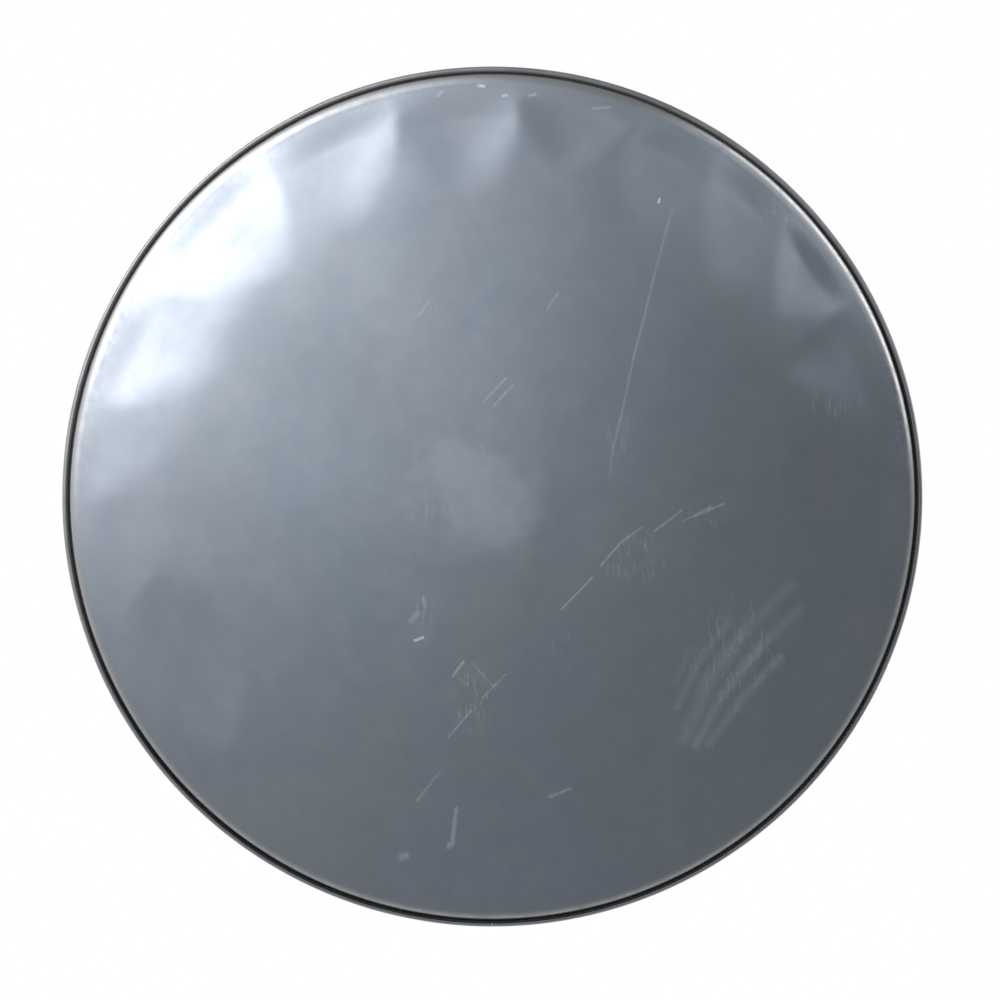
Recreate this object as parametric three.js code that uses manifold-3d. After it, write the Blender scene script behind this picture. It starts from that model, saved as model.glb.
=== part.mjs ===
// Round convex security mirror, 600 mm across, on a telescopic swivel-and-tilt wall bracket.
//
// Frame: millimetres, +Z up. The origin is the centre of the wall plate's rear face. The wall is
// the plane y = 0 and the mirror looks along -Y, so "front" is -Y and "rear" is +Y.
// X is to the right for someone who faces the mirror.
import * as THREE from "three";
import { mergeVertices } from "three/addons/utils/BufferGeometryUtils.js";
import Module from "manifold-3d";

const wasm = await Module();
wasm.setup();

// ---------------------------------------------------------------- driving dimensions
// facets round a full turn
const SEG_MIRROR = 56;
const SEG_DISC = 32;
const SEG_TUBE = 24;
const SEG_SMALL = 20; // pins, washers and bores
const SEG_M6 = 12; // M6 hardware, rivets and small holes

// bolts: shank radius, hex across flats, head height, washer radii
const M10 = { r: 5, flats: 17, head: 6.4, washerBore: 5.5, washerR: 10.5 };
const M8 = { r: 4, flats: 13, head: 5.3, washerBore: 4.4, washerR: 8.6 };
const M6 = { r: 3, flats: 10, head: 4, washerBore: 3.2, washerR: 5.8 };
const WASHER_T = 1.5;
const M6_WASHER_T = 1.3;
const M8_HOLE_R = M8.r + 0.3;
const M8_THREAD_R = M8.r + 0.2; // bore of the knob and wing nuts
const M6_HOLE_R = M6.r + 0.4;

// places along Y
const PAN_Y = -44; // vertical pivot at the wall
const SWIVEL_Y = -275; // vertical pivot at the head
const TILT_Y = -313; // horizontal pivot at the head
const BASE_Y = -337; // rear face of the head bracket's base
const RIM_Y = -361.5; // mirror's rim plane

// wall bracket
const PLATE = { width: 92, height: 142, thickness: 4, cornerR: 14 };
const PLATE_HOLE = { r: 4.25, x: 31, z: 56 };
const YOKE_HALF_W = 18;
const YOKE_GAP = 20; // half the space between the ears
const YOKE_T = 5;
const YOKE_TOP = YOKE_GAP + YOKE_T;

// telescopic arm
const BARREL_R = 16;
const BARREL_BORE = 7.3;
const BARREL_HALF_H = 17.6;
const OUTER_R = 15;
const OUTER_BORE = 13;
const OUTER_END = -214;
const COLLAR_R = 20;
const COLLAR_LEN = 24;
const KNOB_Y = OUTER_END + COLLAR_LEN / 2;
const BOSS_R = 9; // collar's screw boss and the knob's hub
const INNER_R = 11;
const INNER_BORE = 9.2;
const INNER_START = -76;
const INNER_END = -246;
const PLUG_R = INNER_BORE - 0.2; // parts pushed into the inner tube

// swivel and tilt head
const EAR_R = 14;
const EAR_GAP = 12.4; // half the space between the ears
const FORK_HALF = EAR_GAP + 6;
const HEAD_HALF = EAR_GAP + 5;
const TONGUE_R = 13.5;
const TONGUE_HALF = 11;
const BASE_T = 4;
const BASE_R = 62;
const BASE_BOLT = 34; // X and Z distance of each base bolt from the axis
const BASE_CORNERS = [[-1, 1], [1, 1], [-1, -1], [1, -1]];

// mirror: r is the distance from its axis, f the distance forward of the rim plane
const RIM_R = 300; // outside of the rolled hoop
const DOME_EDGE = { r: 288.9, f: 6.6 }; // where the sphere meets its rolled shoulder
const DOME_RISE = 62;
const SHEET = 1.0; // face and pan sheet
const FLANGE_R = 297.2;
const PAD_R = 72; // flat pressing in the middle of the pan
const PAD_F = -20.3;
const BACKING_REAR = -PAD_F - SHEET - 0.2; // backing disc inside the pan, rearward of the rim
const BACKING_T = 3;
const RIVET_RING_R = 293;
const RIVET_ANGLE = 3.3; // degrees either side of the bottom
const STRAP_ANGLE = 5.4;

// ---------------------------------------------------------------- helpers
const join = (...all) => all.reduce((a, b) => a.add(b));
const cut = (piece, ...tools) => tools.reduce((a, b) => a.subtract(b), piece);

// A three.js geometry as a manifold solid: positions merged, collapsed triangles left out.
function solid(geometry) {
  const bare = new THREE.BufferGeometry().setIndex(geometry.index);
  bare.setAttribute("position", geometry.getAttribute("position"));
  const merged = mergeVertices(bare, 1e-4);
  const corners = merged.index.array;
  const buildWith = (triangles) =>
    new wasm.Manifold(
      new wasm.Mesh({
        numProp: 3,
        vertProperties: new Float32Array(merged.attributes.position.array),
        triVerts: new Uint32Array(triangles.flat()),
      }),
    );
  const triangles = [];
  for (let i = 0; i < corners.length; i += 3) {
    const [a, b, c] = corners.slice(i, i + 3);
    if (a !== b && b !== c && c !== a) triangles.push([a, b, c]);
  }
  const made = buildWith(triangles);
  if (made.volume() >= 0) return made;
  // the profile ran the other way round, so the surface is inside out
  return buildWith(triangles.map(([a, b, c]) => [a, c, b]));
}

function geometryOf(piece) {
  const mesh = piece.getMesh();
  const positions = new Float32Array(mesh.numVert * 3);
  for (let i = 0; i < mesh.numVert; i++) {
    const start = i * mesh.numProp;
    positions.set(mesh.vertProperties.subarray(start, start + 3), i * 3);
  }
  const geometry = new THREE.BufferGeometry();
  geometry.setAttribute("position", new THREE.BufferAttribute(positions, 3));
  geometry.setIndex(new THREE.BufferAttribute(new Uint32Array(mesh.triVerts), 1));
  geometry.computeVertexNormals();
  return geometry;
}

// Turns a piece drawn along Y so that it lies along the given axis.
function along(axis, piece) {
  if (axis === "z") return piece.rotate([90, 0, 0]);
  if (axis === "x") return piece.rotate([0, 0, -90]);
  return piece;
}

// Profile [[r, height], ...] turned about Y. It is closed unless both ends are on the axis.
function turned(profile, segments = SEG_SMALL) {
  const points = profile.map(([r, height]) => new THREE.Vector2(r, height));
  if (profile[0][0] > 0 || profile.at(-1)[0] > 0) points.push(points[0].clone());
  return solid(new THREE.LatheGeometry(points, segments));
}

// Cylinder from low to high along an axis, moved by `at`.
function rod(axis, r, low, high, at = [0, 0, 0], segments = SEG_SMALL) {
  const cylinder = new THREE.CylinderGeometry(r, r, high - low, segments);
  return along(axis, solid(cylinder.translate(0, (low + high) / 2, 0))).translate(at);
}

const hexRod = (axis, flats, low, high) => rod(axis, flats / Math.sqrt(3), low, high, [0, 0, 0], 6);

// Cutting rod, long enough to pass right through.
const bore = (axis, r, at, segments) => rod(axis, r, -60, 60, at, segments);

// Washer, tube or sleeve about an axis.
function ring(axis, rIn, rOut, low, high, segments) {
  return along(axis, turned([[rIn, low], [rOut, low], [rOut, high], [rIn, high]], segments));
}

function block([x0, x1], [y0, y1], [z0, z1]) {
  const box = new THREE.BoxGeometry(x1 - x0, y1 - y0, z1 - z0);
  return solid(box.translate((x0 + x1) / 2, (y0 + y1) / 2, (z0 + z1) / 2));
}

// Flat shape given thickness along an axis. Shape (u, v) lies on (X, Y) for z, on (X, Z) for y
// and on (Z, Y) for x.
function slab(axis, shape, low, high, curveSegments = 6) {
  const options = { depth: high - low, bevelEnabled: false, curveSegments };
  const geometry = new THREE.ExtrudeGeometry(shape, options);
  if (axis === "z") geometry.translate(0, 0, low);
  if (axis === "y") geometry.rotateX(Math.PI / 2).translate(0, high, 0);
  if (axis === "x") geometry.rotateY(-Math.PI / 2).translate(high, 0, 0);
  return solid(geometry);
}

// Round-ended plate: a half circle about the origin, with straight sides that run to y = length.
function tabPlate(axis, r, length, low, high) {
  const shape = new THREE.Shape();
  shape.moveTo(r, length);
  shape.lineTo(-r, length);
  shape.absarc(0, 0, r, Math.PI, 2 * Math.PI);
  return slab(axis, shape, low, high, 7);
}

function roundedRect(width, height, r) {
  const shape = new THREE.Shape();
  [[1, -1], [1, 1], [-1, 1], [-1, -1]].forEach(([sideX, sideY], i) => {
    const start = ((i - 1) * Math.PI) / 2;
    shape.absarc(sideX * (width / 2 - r), sideY * (height / 2 - r), r, start, start + Math.PI / 2);
  });
  return shape;
}

// Hex bolt with its head above `seat` and its shank down to `tip`.
function hexBolt(axis, bolt, seat, tip, segments) {
  return join(
    hexRod(axis, bolt.flats, seat, seat + bolt.head),
    rod(axis, bolt.r, tip, seat + 0.5, [0, 0, 0], segments),
  );
}

// ---------------------------------------------------------------- materials
const finish = (values) => new THREE.MeshStandardMaterial(values);
const MATERIAL = {
  mirror: finish({ color: 0x9aa1a9, roughness: 0.18, metalness: 1 }),
  hoop: finish({ color: 0x5d6064, roughness: 0.3, metalness: 1 }),
  galvanised: finish({ color: 0xa9adb0, roughness: 0.42, metalness: 0.9 }),
  powder: finish({ color: 0x3a3d40, roughness: 0.5, metalness: 0.2 }),
  zinc: finish({ color: 0xb9bbb8, roughness: 0.3, metalness: 1 }),
  rubber: finish({ color: 0x17181a, roughness: 0.85, metalness: 0 }),
  nylon: finish({ color: 0xd9d6cb, roughness: 0.55, metalness: 0 }),
  phenolic: finish({ color: 0x191a1c, roughness: 0.35, metalness: 0 }),
  tube: finish({ color: 0xb4b7ba, roughness: 0.25, metalness: 1 }),
};

// ---------------------------------------------------------------- assembly helpers
const root = new THREE.Group();
root.name = "convex_mirror";

function body(parent, name, y = 0) {
  const group = new THREE.Group();
  group.name = name;
  group.position.set(0, y, 0);
  parent.add(group);
  return group;
}

function put(group, name, piece, material, x = 0, z = 0) {
  const mesh = new THREE.Mesh(geometryOf(piece), material);
  mesh.name = name;
  mesh.position.set(x, 0, z);
  group.add(mesh);
}

// Two equal rings, `start` out from the centre. `sides` names the + side, then the - side.
function putRings(group, name, axis, sides, { rIn, rOut, start, thickness }, material) {
  const end = start + thickness;
  put(group, `${name}_${sides[0]}`, ring(axis, rIn, rOut, start, end), material);
  put(group, `${name}_${sides[1]}`, ring(axis, rIn, rOut, -end, -start), material);
}

function putWashers(group, name, axis, sides, bolt, start) {
  const size = { rIn: bolt.washerBore, rOut: bolt.washerR, start, thickness: WASHER_T };
  putRings(group, name, axis, sides, size, MATERIAL.zinc);
}

// Nylon discs between the knuckle's tongue and the ears beside it.
function putDiscs(group, name, axis, sides) {
  const size = { rIn: M8.washerBore, rOut: 12.5, start: TONGUE_HALF + 0.2, thickness: 1 };
  putRings(group, name, axis, sides, size, MATERIAL.nylon);
}

// Wing nut along +Y, seated at y = 0.
function wingNut() {
  const hub = turned([[0, 0], [7.6, 0], [6.2, 9], [0, 9]]);
  const outline = new THREE.Shape();
  outline.moveTo(4, 1.2);
  outline.lineTo(8.5, 1.6);
  outline.quadraticCurveTo(14.5, 5, 16.6, 10.2);
  outline.quadraticCurveTo(17.2, 14.2, 13.4, 14.4);
  outline.quadraticCurveTo(9.4, 12.6, 8, 7.2);
  outline.lineTo(4, 6.4);
  outline.lineTo(4, 1.2);
  const wing = slab("z", outline, -1.3, 1.3, 4);
  return cut(join(hub, wing, wing.rotate([0, 180, 0])), bore("y", M8_THREAD_R));
}

// M8 bolt, washers and wing nut through ears whose outer faces are at +-half.
function putPivotHardware(group, name, axis, sides, half, tip) {
  const nut = wingNut().translate([0, half + 2, 0]).rotate([180, 0, 0]);
  put(group, `${name}_bolt`, hexBolt(axis, M8, half + 1.9, tip), MATERIAL.zinc);
  putWashers(group, `${name}_washer`, axis, sides, M8, half + 0.2);
  put(group, `${name}_wing_nut`, along(axis, nut), MATERIAL.zinc);
}

// ================================================================ wall bracket (fixed)
function wallPlate() {
  const shape = roundedRect(PLATE.width, PLATE.height, PLATE.cornerR);
  for (const sideX of [-1, 1]) {
    for (const sideZ of [-1, 1]) {
      const hole = new THREE.Path();
      const [x, z] = [sideX * PLATE_HOLE.x, sideZ * PLATE_HOLE.z];
      hole.absarc(x, z, PLATE_HOLE.r, 0, 2 * Math.PI, true);
      shape.holes.push(hole);
    }
  }
  return slab("y", shape, -PLATE.thickness, 0, 5);
}

// U-shaped yoke: two round-ended ears on a base
function wallYoke() {
  const plan = tabPlate("z", YOKE_HALF_W, -PAN_Y - PLATE.thickness, -YOKE_TOP, YOKE_TOP);
  return cut(
    plan.translate([0, PAN_Y, 0]),
    block([-30, 30], [PAN_Y - 30, -PLATE.thickness - YOKE_T], [-YOKE_GAP, YOKE_GAP]),
    bore("z", M10.r + 0.4, [0, PAN_Y, 0]),
  );
}

function panLocknut() {
  const hex = hexRod("z", M10.flats, -YOKE_TOP - 8.4, -YOKE_TOP - 1.8);
  const neck = rod("z", 7.7, -YOKE_TOP - 11.4, -YOKE_TOP - 8);
  return cut(join(hex, neck), bore("z", M10.r + 0.2));
}

const wall = body(root, "wall_bracket");
put(wall, "wall_plate", wallPlate(), MATERIAL.powder);
put(wall, "wall_yoke", wallYoke(), MATERIAL.powder);

const pan = body(wall, "pan_axis", PAN_Y);
put(pan, "pan_bolt", hexBolt("z", M10, YOKE_TOP + 1.8, -YOKE_TOP - 14), MATERIAL.zinc);
putWashers(pan, "pan_washer", "z", ["top", "bottom"], M10, YOKE_TOP + 0.1);
put(pan, "pan_locknut", panLocknut(), MATERIAL.zinc);

// ================================================================ outer arm (pans about Z)
// places measured from the pan axis
const tubeFront = OUTER_END - PAN_Y;
const collarRear = tubeFront + COLLAR_LEN;
const screwAt = [0, KNOB_Y - PAN_Y, 0];
const screwHole = rod("z", M8.r + 0.6, -60, 0, screwAt); // underside only

// flanged sleeve in the upper end of the barrel
function panBush() {
  const [rIn, sleeveR, flangeR] = [M10.r + 0.4, BARREL_BORE - 0.3, 14];
  const [bottom, flangeZ, top] = [1.5, BARREL_HALF_H + 0.3, BARREL_HALF_H + 2.1];
  const profile = [
    [rIn, bottom], [sleeveR, bottom], [sleeveR, flangeZ],
    [flangeR, flangeZ], [flangeR, top], [rIn, top],
  ];
  return along("z", turned(profile));
}

function outerTube() {
  return cut(
    ring("y", OUTER_BORE, OUTER_R, tubeFront, 0, SEG_TUBE),
    bore("z", BARREL_R + 0.35, [0, 0, 0], SEG_TUBE),
    screwHole,
  );
}

function clampCollar() {
  return cut(
    join(
      rod("y", COLLAR_R, tubeFront, collarRear, [0, 0, 0], SEG_TUBE),
      rod("z", BOSS_R, -31, -12, screwAt),
    ),
    rod("y", OUTER_R + 0.3, tubeFront - 5, collarRear + 5, [0, 0, 0], SEG_TUBE),
    rod("z", M8_HOLE_R, -60, 0, screwAt),
  );
}

// sleeve between the two tubes, with a lip over the outer tube's front end
function guideBush() {
  const [rIn, sleeveR] = [INNER_R + 0.35, OUTER_BORE - 0.25];
  const [front, lipRear, rear] = [tubeFront - 2.6, tubeFront - 0.2, tubeFront + 30];
  const profile = [
    [rIn, front], [OUTER_R, front], [OUTER_R, lipRear],
    [sleeveR, lipRear], [sleeveR, rear], [rIn, rear],
  ];
  return cut(turned(profile, SEG_TUBE), screwHole);
}

const outer = body(root, "outer_arm", PAN_Y);
const barrel = ring("z", BARREL_BORE, BARREL_R, -BARREL_HALF_H, BARREL_HALF_H, SEG_TUBE);
put(outer, "arm_barrel", barrel, MATERIAL.powder);
put(outer, "pan_bush_upper", panBush(), MATERIAL.nylon);
put(outer, "pan_bush_lower", panBush().rotate([180, 0, 0]), MATERIAL.nylon);
put(outer, "outer_tube", outerTube(), MATERIAL.powder);
put(outer, "clamp_collar", clampCollar(), MATERIAL.powder);
put(outer, "guide_bush", guideBush(), MATERIAL.nylon);

// ---------------------------------------------------------------- extension lock knob (about Z)
const KNOB = { r: 17.5, lobes: 6, grooveDepth: 2.4, grooveSharpness: 1.6, points: 36 };

function extensionKnob() {
  const outline = new THREE.Shape();
  for (let i = 0; i < KNOB.points; i++) {
    const angle = (i / KNOB.points) * 2 * Math.PI;
    const wave = 0.5 - 0.5 * Math.cos(KNOB.lobes * angle);
    const r = KNOB.r - KNOB.grooveDepth * wave ** KNOB.grooveSharpness;
    const [x, y] = [r * Math.cos(angle), r * Math.sin(angle)];
    if (i === 0) outline.moveTo(x, y);
    else outline.lineTo(x, y);
  }
  outline.closePath();
  const grip = slab("z", outline, -54, -40);
  const hub = rod("z", BOSS_R, -41, -33.5);
  return cut(join(grip, hub), rod("z", M8_THREAD_R, -50, -20)); // blind from above
}

const knob = body(outer, "extension_knob_axis", screwAt[1]);
put(knob, "extension_knob", extensionKnob(), MATERIAL.phenolic);
put(knob, "extension_screw", rod("z", M8.r, -49.7, -INNER_R - 0.5), MATERIAL.zinc);

// ================================================================ inner arm (slides along -Y)
// plug in the rear end of the inner tube, with a head that fits the outer tube's bore
function innerGlide() {
  const headR = OUTER_BORE - 0.3;
  const [plugFront, headFront, rear] = [INNER_START - 16, INNER_START + 0.2, INNER_START + 11.5];
  const profile = [
    [0, plugFront], [PLUG_R, plugFront], [PLUG_R, headFront],
    [headR, headFront], [headR, rear], [0, rear],
  ];
  return turned(profile, SEG_TUBE);
}

// fork with a flange and a plug that enters the inner tube's front end
function headFork() {
  const earLength = INNER_END - 2 - SWIVEL_Y;
  const ears = cut(
    tabPlate("z", EAR_R, earLength, -FORK_HALF, FORK_HALF).translate([0, SWIVEL_Y, 0]),
    block([-30, 30], [SWIVEL_Y - 30, SWIVEL_Y + 18], [-EAR_GAP, EAR_GAP]),
    bore("z", M8_HOLE_R, [0, SWIVEL_Y, 0]),
  );
  return join(
    rod("y", PLUG_R, INNER_END - 3, INNER_END + 24, [0, 0, 0], SEG_TUBE),
    rod("y", 14, INNER_END - 3.5, INNER_END - 0.3, [0, 0, 0], SEG_TUBE),
    ears,
  );
}

const inner = body(root, "inner_arm");
const innerTube = ring("y", INNER_BORE, INNER_R, INNER_END, INNER_START, SEG_TUBE);
put(inner, "inner_tube", innerTube, MATERIAL.tube);
put(inner, "inner_glide", innerGlide(), MATERIAL.nylon);
put(inner, "head_fork", headFork(), MATERIAL.powder);

const swivel = body(inner, "swivel_axis", SWIVEL_Y);
putPivotHardware(swivel, "swivel", "z", ["top", "bottom"], FORK_HALF, -36);

// ================================================================ knuckle (swivels about Z)
// flat tongue on the swivel axis, a square web, and an upright tongue on the tilt axis
function swivelKnuckle() {
  const tilt = TILT_Y - SWIVEL_Y;
  const [webFront, webRear] = [-22, -16];
  const tiltTongue = tabPlate("x", TONGUE_R, webFront + 1 - tilt, -TONGUE_HALF, TONGUE_HALF);
  return cut(
    join(
      tabPlate("z", TONGUE_R, -webRear, -TONGUE_HALF, TONGUE_HALF).rotate([0, 0, 180]),
      block([-TONGUE_R, TONGUE_R], [webFront, webRear], [-TONGUE_R, TONGUE_R]),
      tiltTongue.translate([0, tilt, 0]),
    ),
    bore("z", M8_HOLE_R),
    bore("x", M8_HOLE_R, [0, tilt, 0]),
  );
}

const knuckle = body(root, "knuckle", SWIVEL_Y);
put(knuckle, "swivel_knuckle", swivelKnuckle(), MATERIAL.powder);
putDiscs(knuckle, "swivel_disc", "z", ["top", "bottom"]);

// ================================================================ mirror head (tilts about X)
const baseHoles = BASE_CORNERS.map(([sideX, sideZ]) =>
  bore("y", M6_HOLE_R, [sideX * BASE_BOLT, 0, sideZ * BASE_BOLT], SEG_M6),
);

// round base with two upright ears
function headBracket() {
  const baseRear = BASE_Y - TILT_Y;
  const ear = tabPlate("x", EAR_R, -baseRear + 2, EAR_GAP, HEAD_HALF).rotate([180, 0, 0]);
  return cut(
    join(
      rod("y", BASE_R, baseRear - BASE_T, baseRear, [0, 0, 0], SEG_DISC),
      ear,
      ear.mirror([1, 0, 0]),
    ),
    bore("x", M8_HOLE_R),
    ...baseHoles,
  );
}

const head = body(root, "mirror_head", TILT_Y);
putPivotHardware(head, "tilt", "x", ["right", "left"], HEAD_HALF, -35);
putDiscs(head, "tilt_disc", "x", ["right", "left"]);
put(head, "head_bracket", headBracket(), MATERIAL.powder);

// ---------------------------------------------------------------- mirror, from the rim plane
// Profile [[r, f], ...] turned about the mirror's axis.
const spun = (profile) => turned(profile.map(([r, f]) => [r, -f]), SEG_MIRROR);

// spherical face whose shoulder rolls over into a flat flange
function mirrorDome() {
  const sphereR = (DOME_EDGE.r ** 2 + DOME_RISE ** 2) / (2 * DOME_RISE);
  const centreF = DOME_EDGE.f + DOME_RISE - sphereR;
  const arc = (radius, stops) => stops.map((r) => [r, centreF + Math.sqrt(radius ** 2 - r ** 2)]);
  return spun([
    ...arc(sphereR, [0, 70, 140, 205, 255, DOME_EDGE.r]),
    // shoulder and flange, front then rear
    [291.3, 5.05], [293.0, 3.05], [293.95, 1.2], [294.5, SHEET], [FLANGE_R, SHEET],
    [FLANGE_R, 0], [293.3, 0], [292.4, 2.0], [290.7, 4.2],
    ...arc(sphereR - SHEET, [287.6, 230, 160, 80, 0]),
  ]);
}

// r, f round the hoop's section: front roll, outside, rear lip, inside
const HOOP_PROFILE = [
  [296.7, 2.45], [297.3, 3.9], [298.2, 4.2], [299.4, 3.4], [RIM_R, 2.0], [RIM_R, -1.6],
  [299.1, -2.9], [288.5, -2.9], [288.5, -1.7], [297.8, -1.7], [297.8, 2.45],
];
const GASKET_PROFILE = [[295.2, 1.2], [297.3, 1.2], [297.3, 2.2], [295.2, 2.2]];

// r, f of the pressed pan: flat pad, shallow cone and flange, rear side then front side
const PAN_PROFILE = [
  [0, PAD_F], [PAD_R, PAD_F], [80, -17.3], [262, -11.5], [276, -9.0], [285.5, -1.3],
  [FLANGE_R, -1.3], [FLANGE_R, -0.3], [284.8, -0.3], [275.3, -8.1], [261.7, -10.5],
  [79.6, -16.3], [PAD_R - 0.4, PAD_F + SHEET], [0, PAD_F + SHEET],
];
// r, y of a rivet: shank, then a domed head at the rear
const RIVET_PROFILE = [[0, 1.62], [1.5, 1.62], [1.5, 4.3], [3.1, 4.3], [2.5, 5.2], [0, 5.6]];

const radians = THREE.MathUtils.degToRad;
const rivets = [["left", -RIVET_ANGLE], ["right", RIVET_ANGLE]].map(([side, angle]) => ({
  side,
  x: RIVET_RING_R * Math.sin(radians(angle)),
  z: -RIVET_RING_R * Math.cos(radians(angle)),
}));
const rivetHoles = rivets.map(({ x, z }) => bore("y", 1.8, [x, 0, z], SEG_M6));

// hoop split at the bottom
function rimHoop() {
  return cut(spun(HOOP_PROFILE), block([-0.3, 0.3], [-10, 10], [-310, -280]), ...rivetHoles);
}

// short plate that bridges the hoop's split, behind the rear lip
function hoopJointPlate() {
  const [start, end] = [radians(-90 - STRAP_ANGLE), radians(-90 + STRAP_ANGLE)];
  const shape = new THREE.Shape();
  shape.absarc(0, 0, 297.2, start, end, false);
  shape.absarc(0, 0, 289.2, end, start, true);
  shape.closePath();
  return cut(slab("y", shape, 3.1, 4.2), ...rivetHoles);
}

// pan with the base bolt holes and two holes near its bottom
function backPan() {
  const lowHoles = [-1, 1].map((side) => bore("y", 3, [side * 62, 0, -236], SEG_M6));
  return cut(spun(PAN_PROFILE), ...baseHoles, ...lowHoles);
}

function backingDisc() {
  const disc = rod("y", 66, BACKING_REAR - BACKING_T, BACKING_REAR, [0, 0, 0], SEG_DISC);
  return cut(disc, ...baseHoles);
}

const face = body(head, "face", RIM_Y - TILT_Y);
put(face, "mirror_dome", mirrorDome(), MATERIAL.mirror);
put(face, "edge_gasket", spun(GASKET_PROFILE), MATERIAL.rubber);
put(face, "rim_hoop", rimHoop(), MATERIAL.hoop);
put(face, "hoop_joint_plate", hoopJointPlate(), MATERIAL.hoop);
for (const { side, x, z } of rivets) {
  put(face, `hoop_rivet_${side}`, turned(RIVET_PROFILE, SEG_M6), MATERIAL.zinc, x, z);
}
put(face, "back_pan", backPan(), MATERIAL.galvanised);
put(face, "backing_disc", backingDisc(), MATERIAL.zinc);

// four M6 bolts hold the bracket to the pan, with nuts inside
const boltSeat = BASE_Y - RIM_Y;
const washerStart = boltSeat + 0.1;
const washerEnd = washerStart + M6_WASHER_T;
const nutRear = BACKING_REAR - BACKING_T - 0.2;
const headBolt = hexBolt("y", M6, boltSeat + 1.6, 9, SEG_M6);
const headWasher = ring("y", M6.washerBore, M6.washerR, washerStart, washerEnd, SEG_M6);
const headNut = cut(
  hexRod("y", M6.flats, nutRear - 5, nutRear),
  bore("y", M6.r + 0.2, [0, 0, 0], SEG_M6),
);
BASE_CORNERS.forEach(([sideX, sideZ], i) => {
  const [x, z] = [sideX * BASE_BOLT, sideZ * BASE_BOLT];
  put(face, `head_bolt_${i + 1}`, headBolt, MATERIAL.zinc, x, z);
  put(face, `head_washer_${i + 1}`, headWasher, MATERIAL.zinc, x, z);
  put(face, `head_nut_${i + 1}`, headNut, MATERIAL.zinc, x, z);
});

export default root;
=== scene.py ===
"""Round convex mirror on a telescopic wall arm.

The wall is the plane Y = 0 and the arm runs along -Y to the mirror, which faces -Y. +Z is up and
+X is to the right of someone looking into the mirror. The mirror's axis and the arm's axis are
X = Z = 0. Lengths are in millimetres unless a comment says metres; MM turns them into metres.
"""
import math
from contextlib import contextmanager
import bmesh
import bpy
import numpy as np
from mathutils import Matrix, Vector


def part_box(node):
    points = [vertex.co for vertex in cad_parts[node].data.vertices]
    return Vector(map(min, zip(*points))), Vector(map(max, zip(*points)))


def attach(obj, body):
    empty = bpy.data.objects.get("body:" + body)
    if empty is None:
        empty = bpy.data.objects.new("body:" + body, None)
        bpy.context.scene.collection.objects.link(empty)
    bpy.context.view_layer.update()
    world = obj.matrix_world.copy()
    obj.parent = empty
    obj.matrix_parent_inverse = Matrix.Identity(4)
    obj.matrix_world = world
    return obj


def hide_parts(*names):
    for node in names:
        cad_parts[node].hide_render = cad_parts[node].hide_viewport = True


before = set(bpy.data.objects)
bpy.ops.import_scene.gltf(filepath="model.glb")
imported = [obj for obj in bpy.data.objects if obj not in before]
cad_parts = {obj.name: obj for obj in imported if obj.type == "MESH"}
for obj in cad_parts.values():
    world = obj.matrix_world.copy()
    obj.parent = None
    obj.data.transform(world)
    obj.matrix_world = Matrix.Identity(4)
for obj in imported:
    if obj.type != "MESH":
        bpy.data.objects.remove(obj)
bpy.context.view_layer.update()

MM = 0.001
ORIGIN = (0, 0, 0)

# ---------------------------------------------------------------- layout, read from the CAD pieces


def box_mm(node):
    low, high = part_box(node)
    return np.array(low) / MM, np.array(high) / MM


def middle_y(node):
    low, high = box_mm(node)
    return (low[1] + high[1]) / 2


hoop_low, hoop_high = box_mm("rim_hoop")
dome_low, dome_high = box_mm("mirror_dome")
plate_low, plate_high = box_mm("wall_plate")
tube_low, tube_high = box_mm("inner_tube")

RIM_R = round((hoop_high[0] - hoop_low[0]) / 2, 3)
RIM_Y = round(dome_high[1], 3)  # rim plane: rear of the dome's flange
DOME_TOP = RIM_Y - dome_low[1]  # how far the dome stands forward of the rim plane
PLATE_T = -plate_low[1]
PLATE_W, _, PLATE_H = plate_high - plate_low
PAN_Y = middle_y("arm_barrel")
KNOB_Y = middle_y("extension_knob")
SWIVEL_Y = middle_y("swivel_disc_top")
TILT_Y = middle_y("tilt_disc_right")
OUTER_END = box_mm("outer_tube")[0][1]  # front end of the outer tube
INNER_FRONT, INNER_REAR = tube_low[1], tube_high[1]
BASE_T = 4.0  # thickness of the head bracket's round base
BASE_Y = box_mm("head_bracket")[0][1] + BASE_T  # rear face of that base

# Centres of the joints
PAN, KNOB = (0, PAN_Y, 0), (0, KNOB_Y, 0)
SWIVEL, TILT = (0, SWIVEL_Y, 0), (0, TILT_Y, 0)

# Knuckle joints, as distances from the joint's centre along its pin
KNUCKLE_HALF = 11
GAP_HALF = 12.4  # inner faces of the ears and of the fork
EAR_OUTER = 17.4
FORK_OUTER = 18.4
PIN_HOLE_R = 4.3

# Bolt sizes: shank radius, width across flats, thread pitch
M6 = (3.0, 10.0, 1.0)
M8 = (4.0, 13.0, 1.25)
M10 = (5.0, 17.0, 1.5)

# ---------------------------------------------------------------- mesh helpers


@contextmanager
def editing(mesh):
    bm = bmesh.new()
    bm.from_mesh(mesh)
    yield bm
    bm.to_mesh(mesh)
    bm.free()


def place(u, v, h, axis, at=ORIGIN):
    """Points with in-plane coordinates u, v and height h along an axis."""
    u, v, h = np.broadcast_arrays(*(np.asarray(c, float) for c in (u, v, h)))
    order = {"x": (h, u, v), "y": (u, h, v), "z": (u, v, h)}[axis]
    return np.stack(order, -1) + np.array(at, float)


def new_object(verts, faces):
    mesh = bpy.data.meshes.new("part")
    mesh.from_pydata((np.asarray(verts, float) * MM).tolist(), [], faces)
    mesh.validate()
    with editing(mesh) as bm:
        bmesh.ops.recalc_face_normals(bm, faces=bm.faces)
    ob = bpy.data.objects.new("part", mesh)
    bpy.context.scene.collection.objects.link(ob)
    return ob


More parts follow.
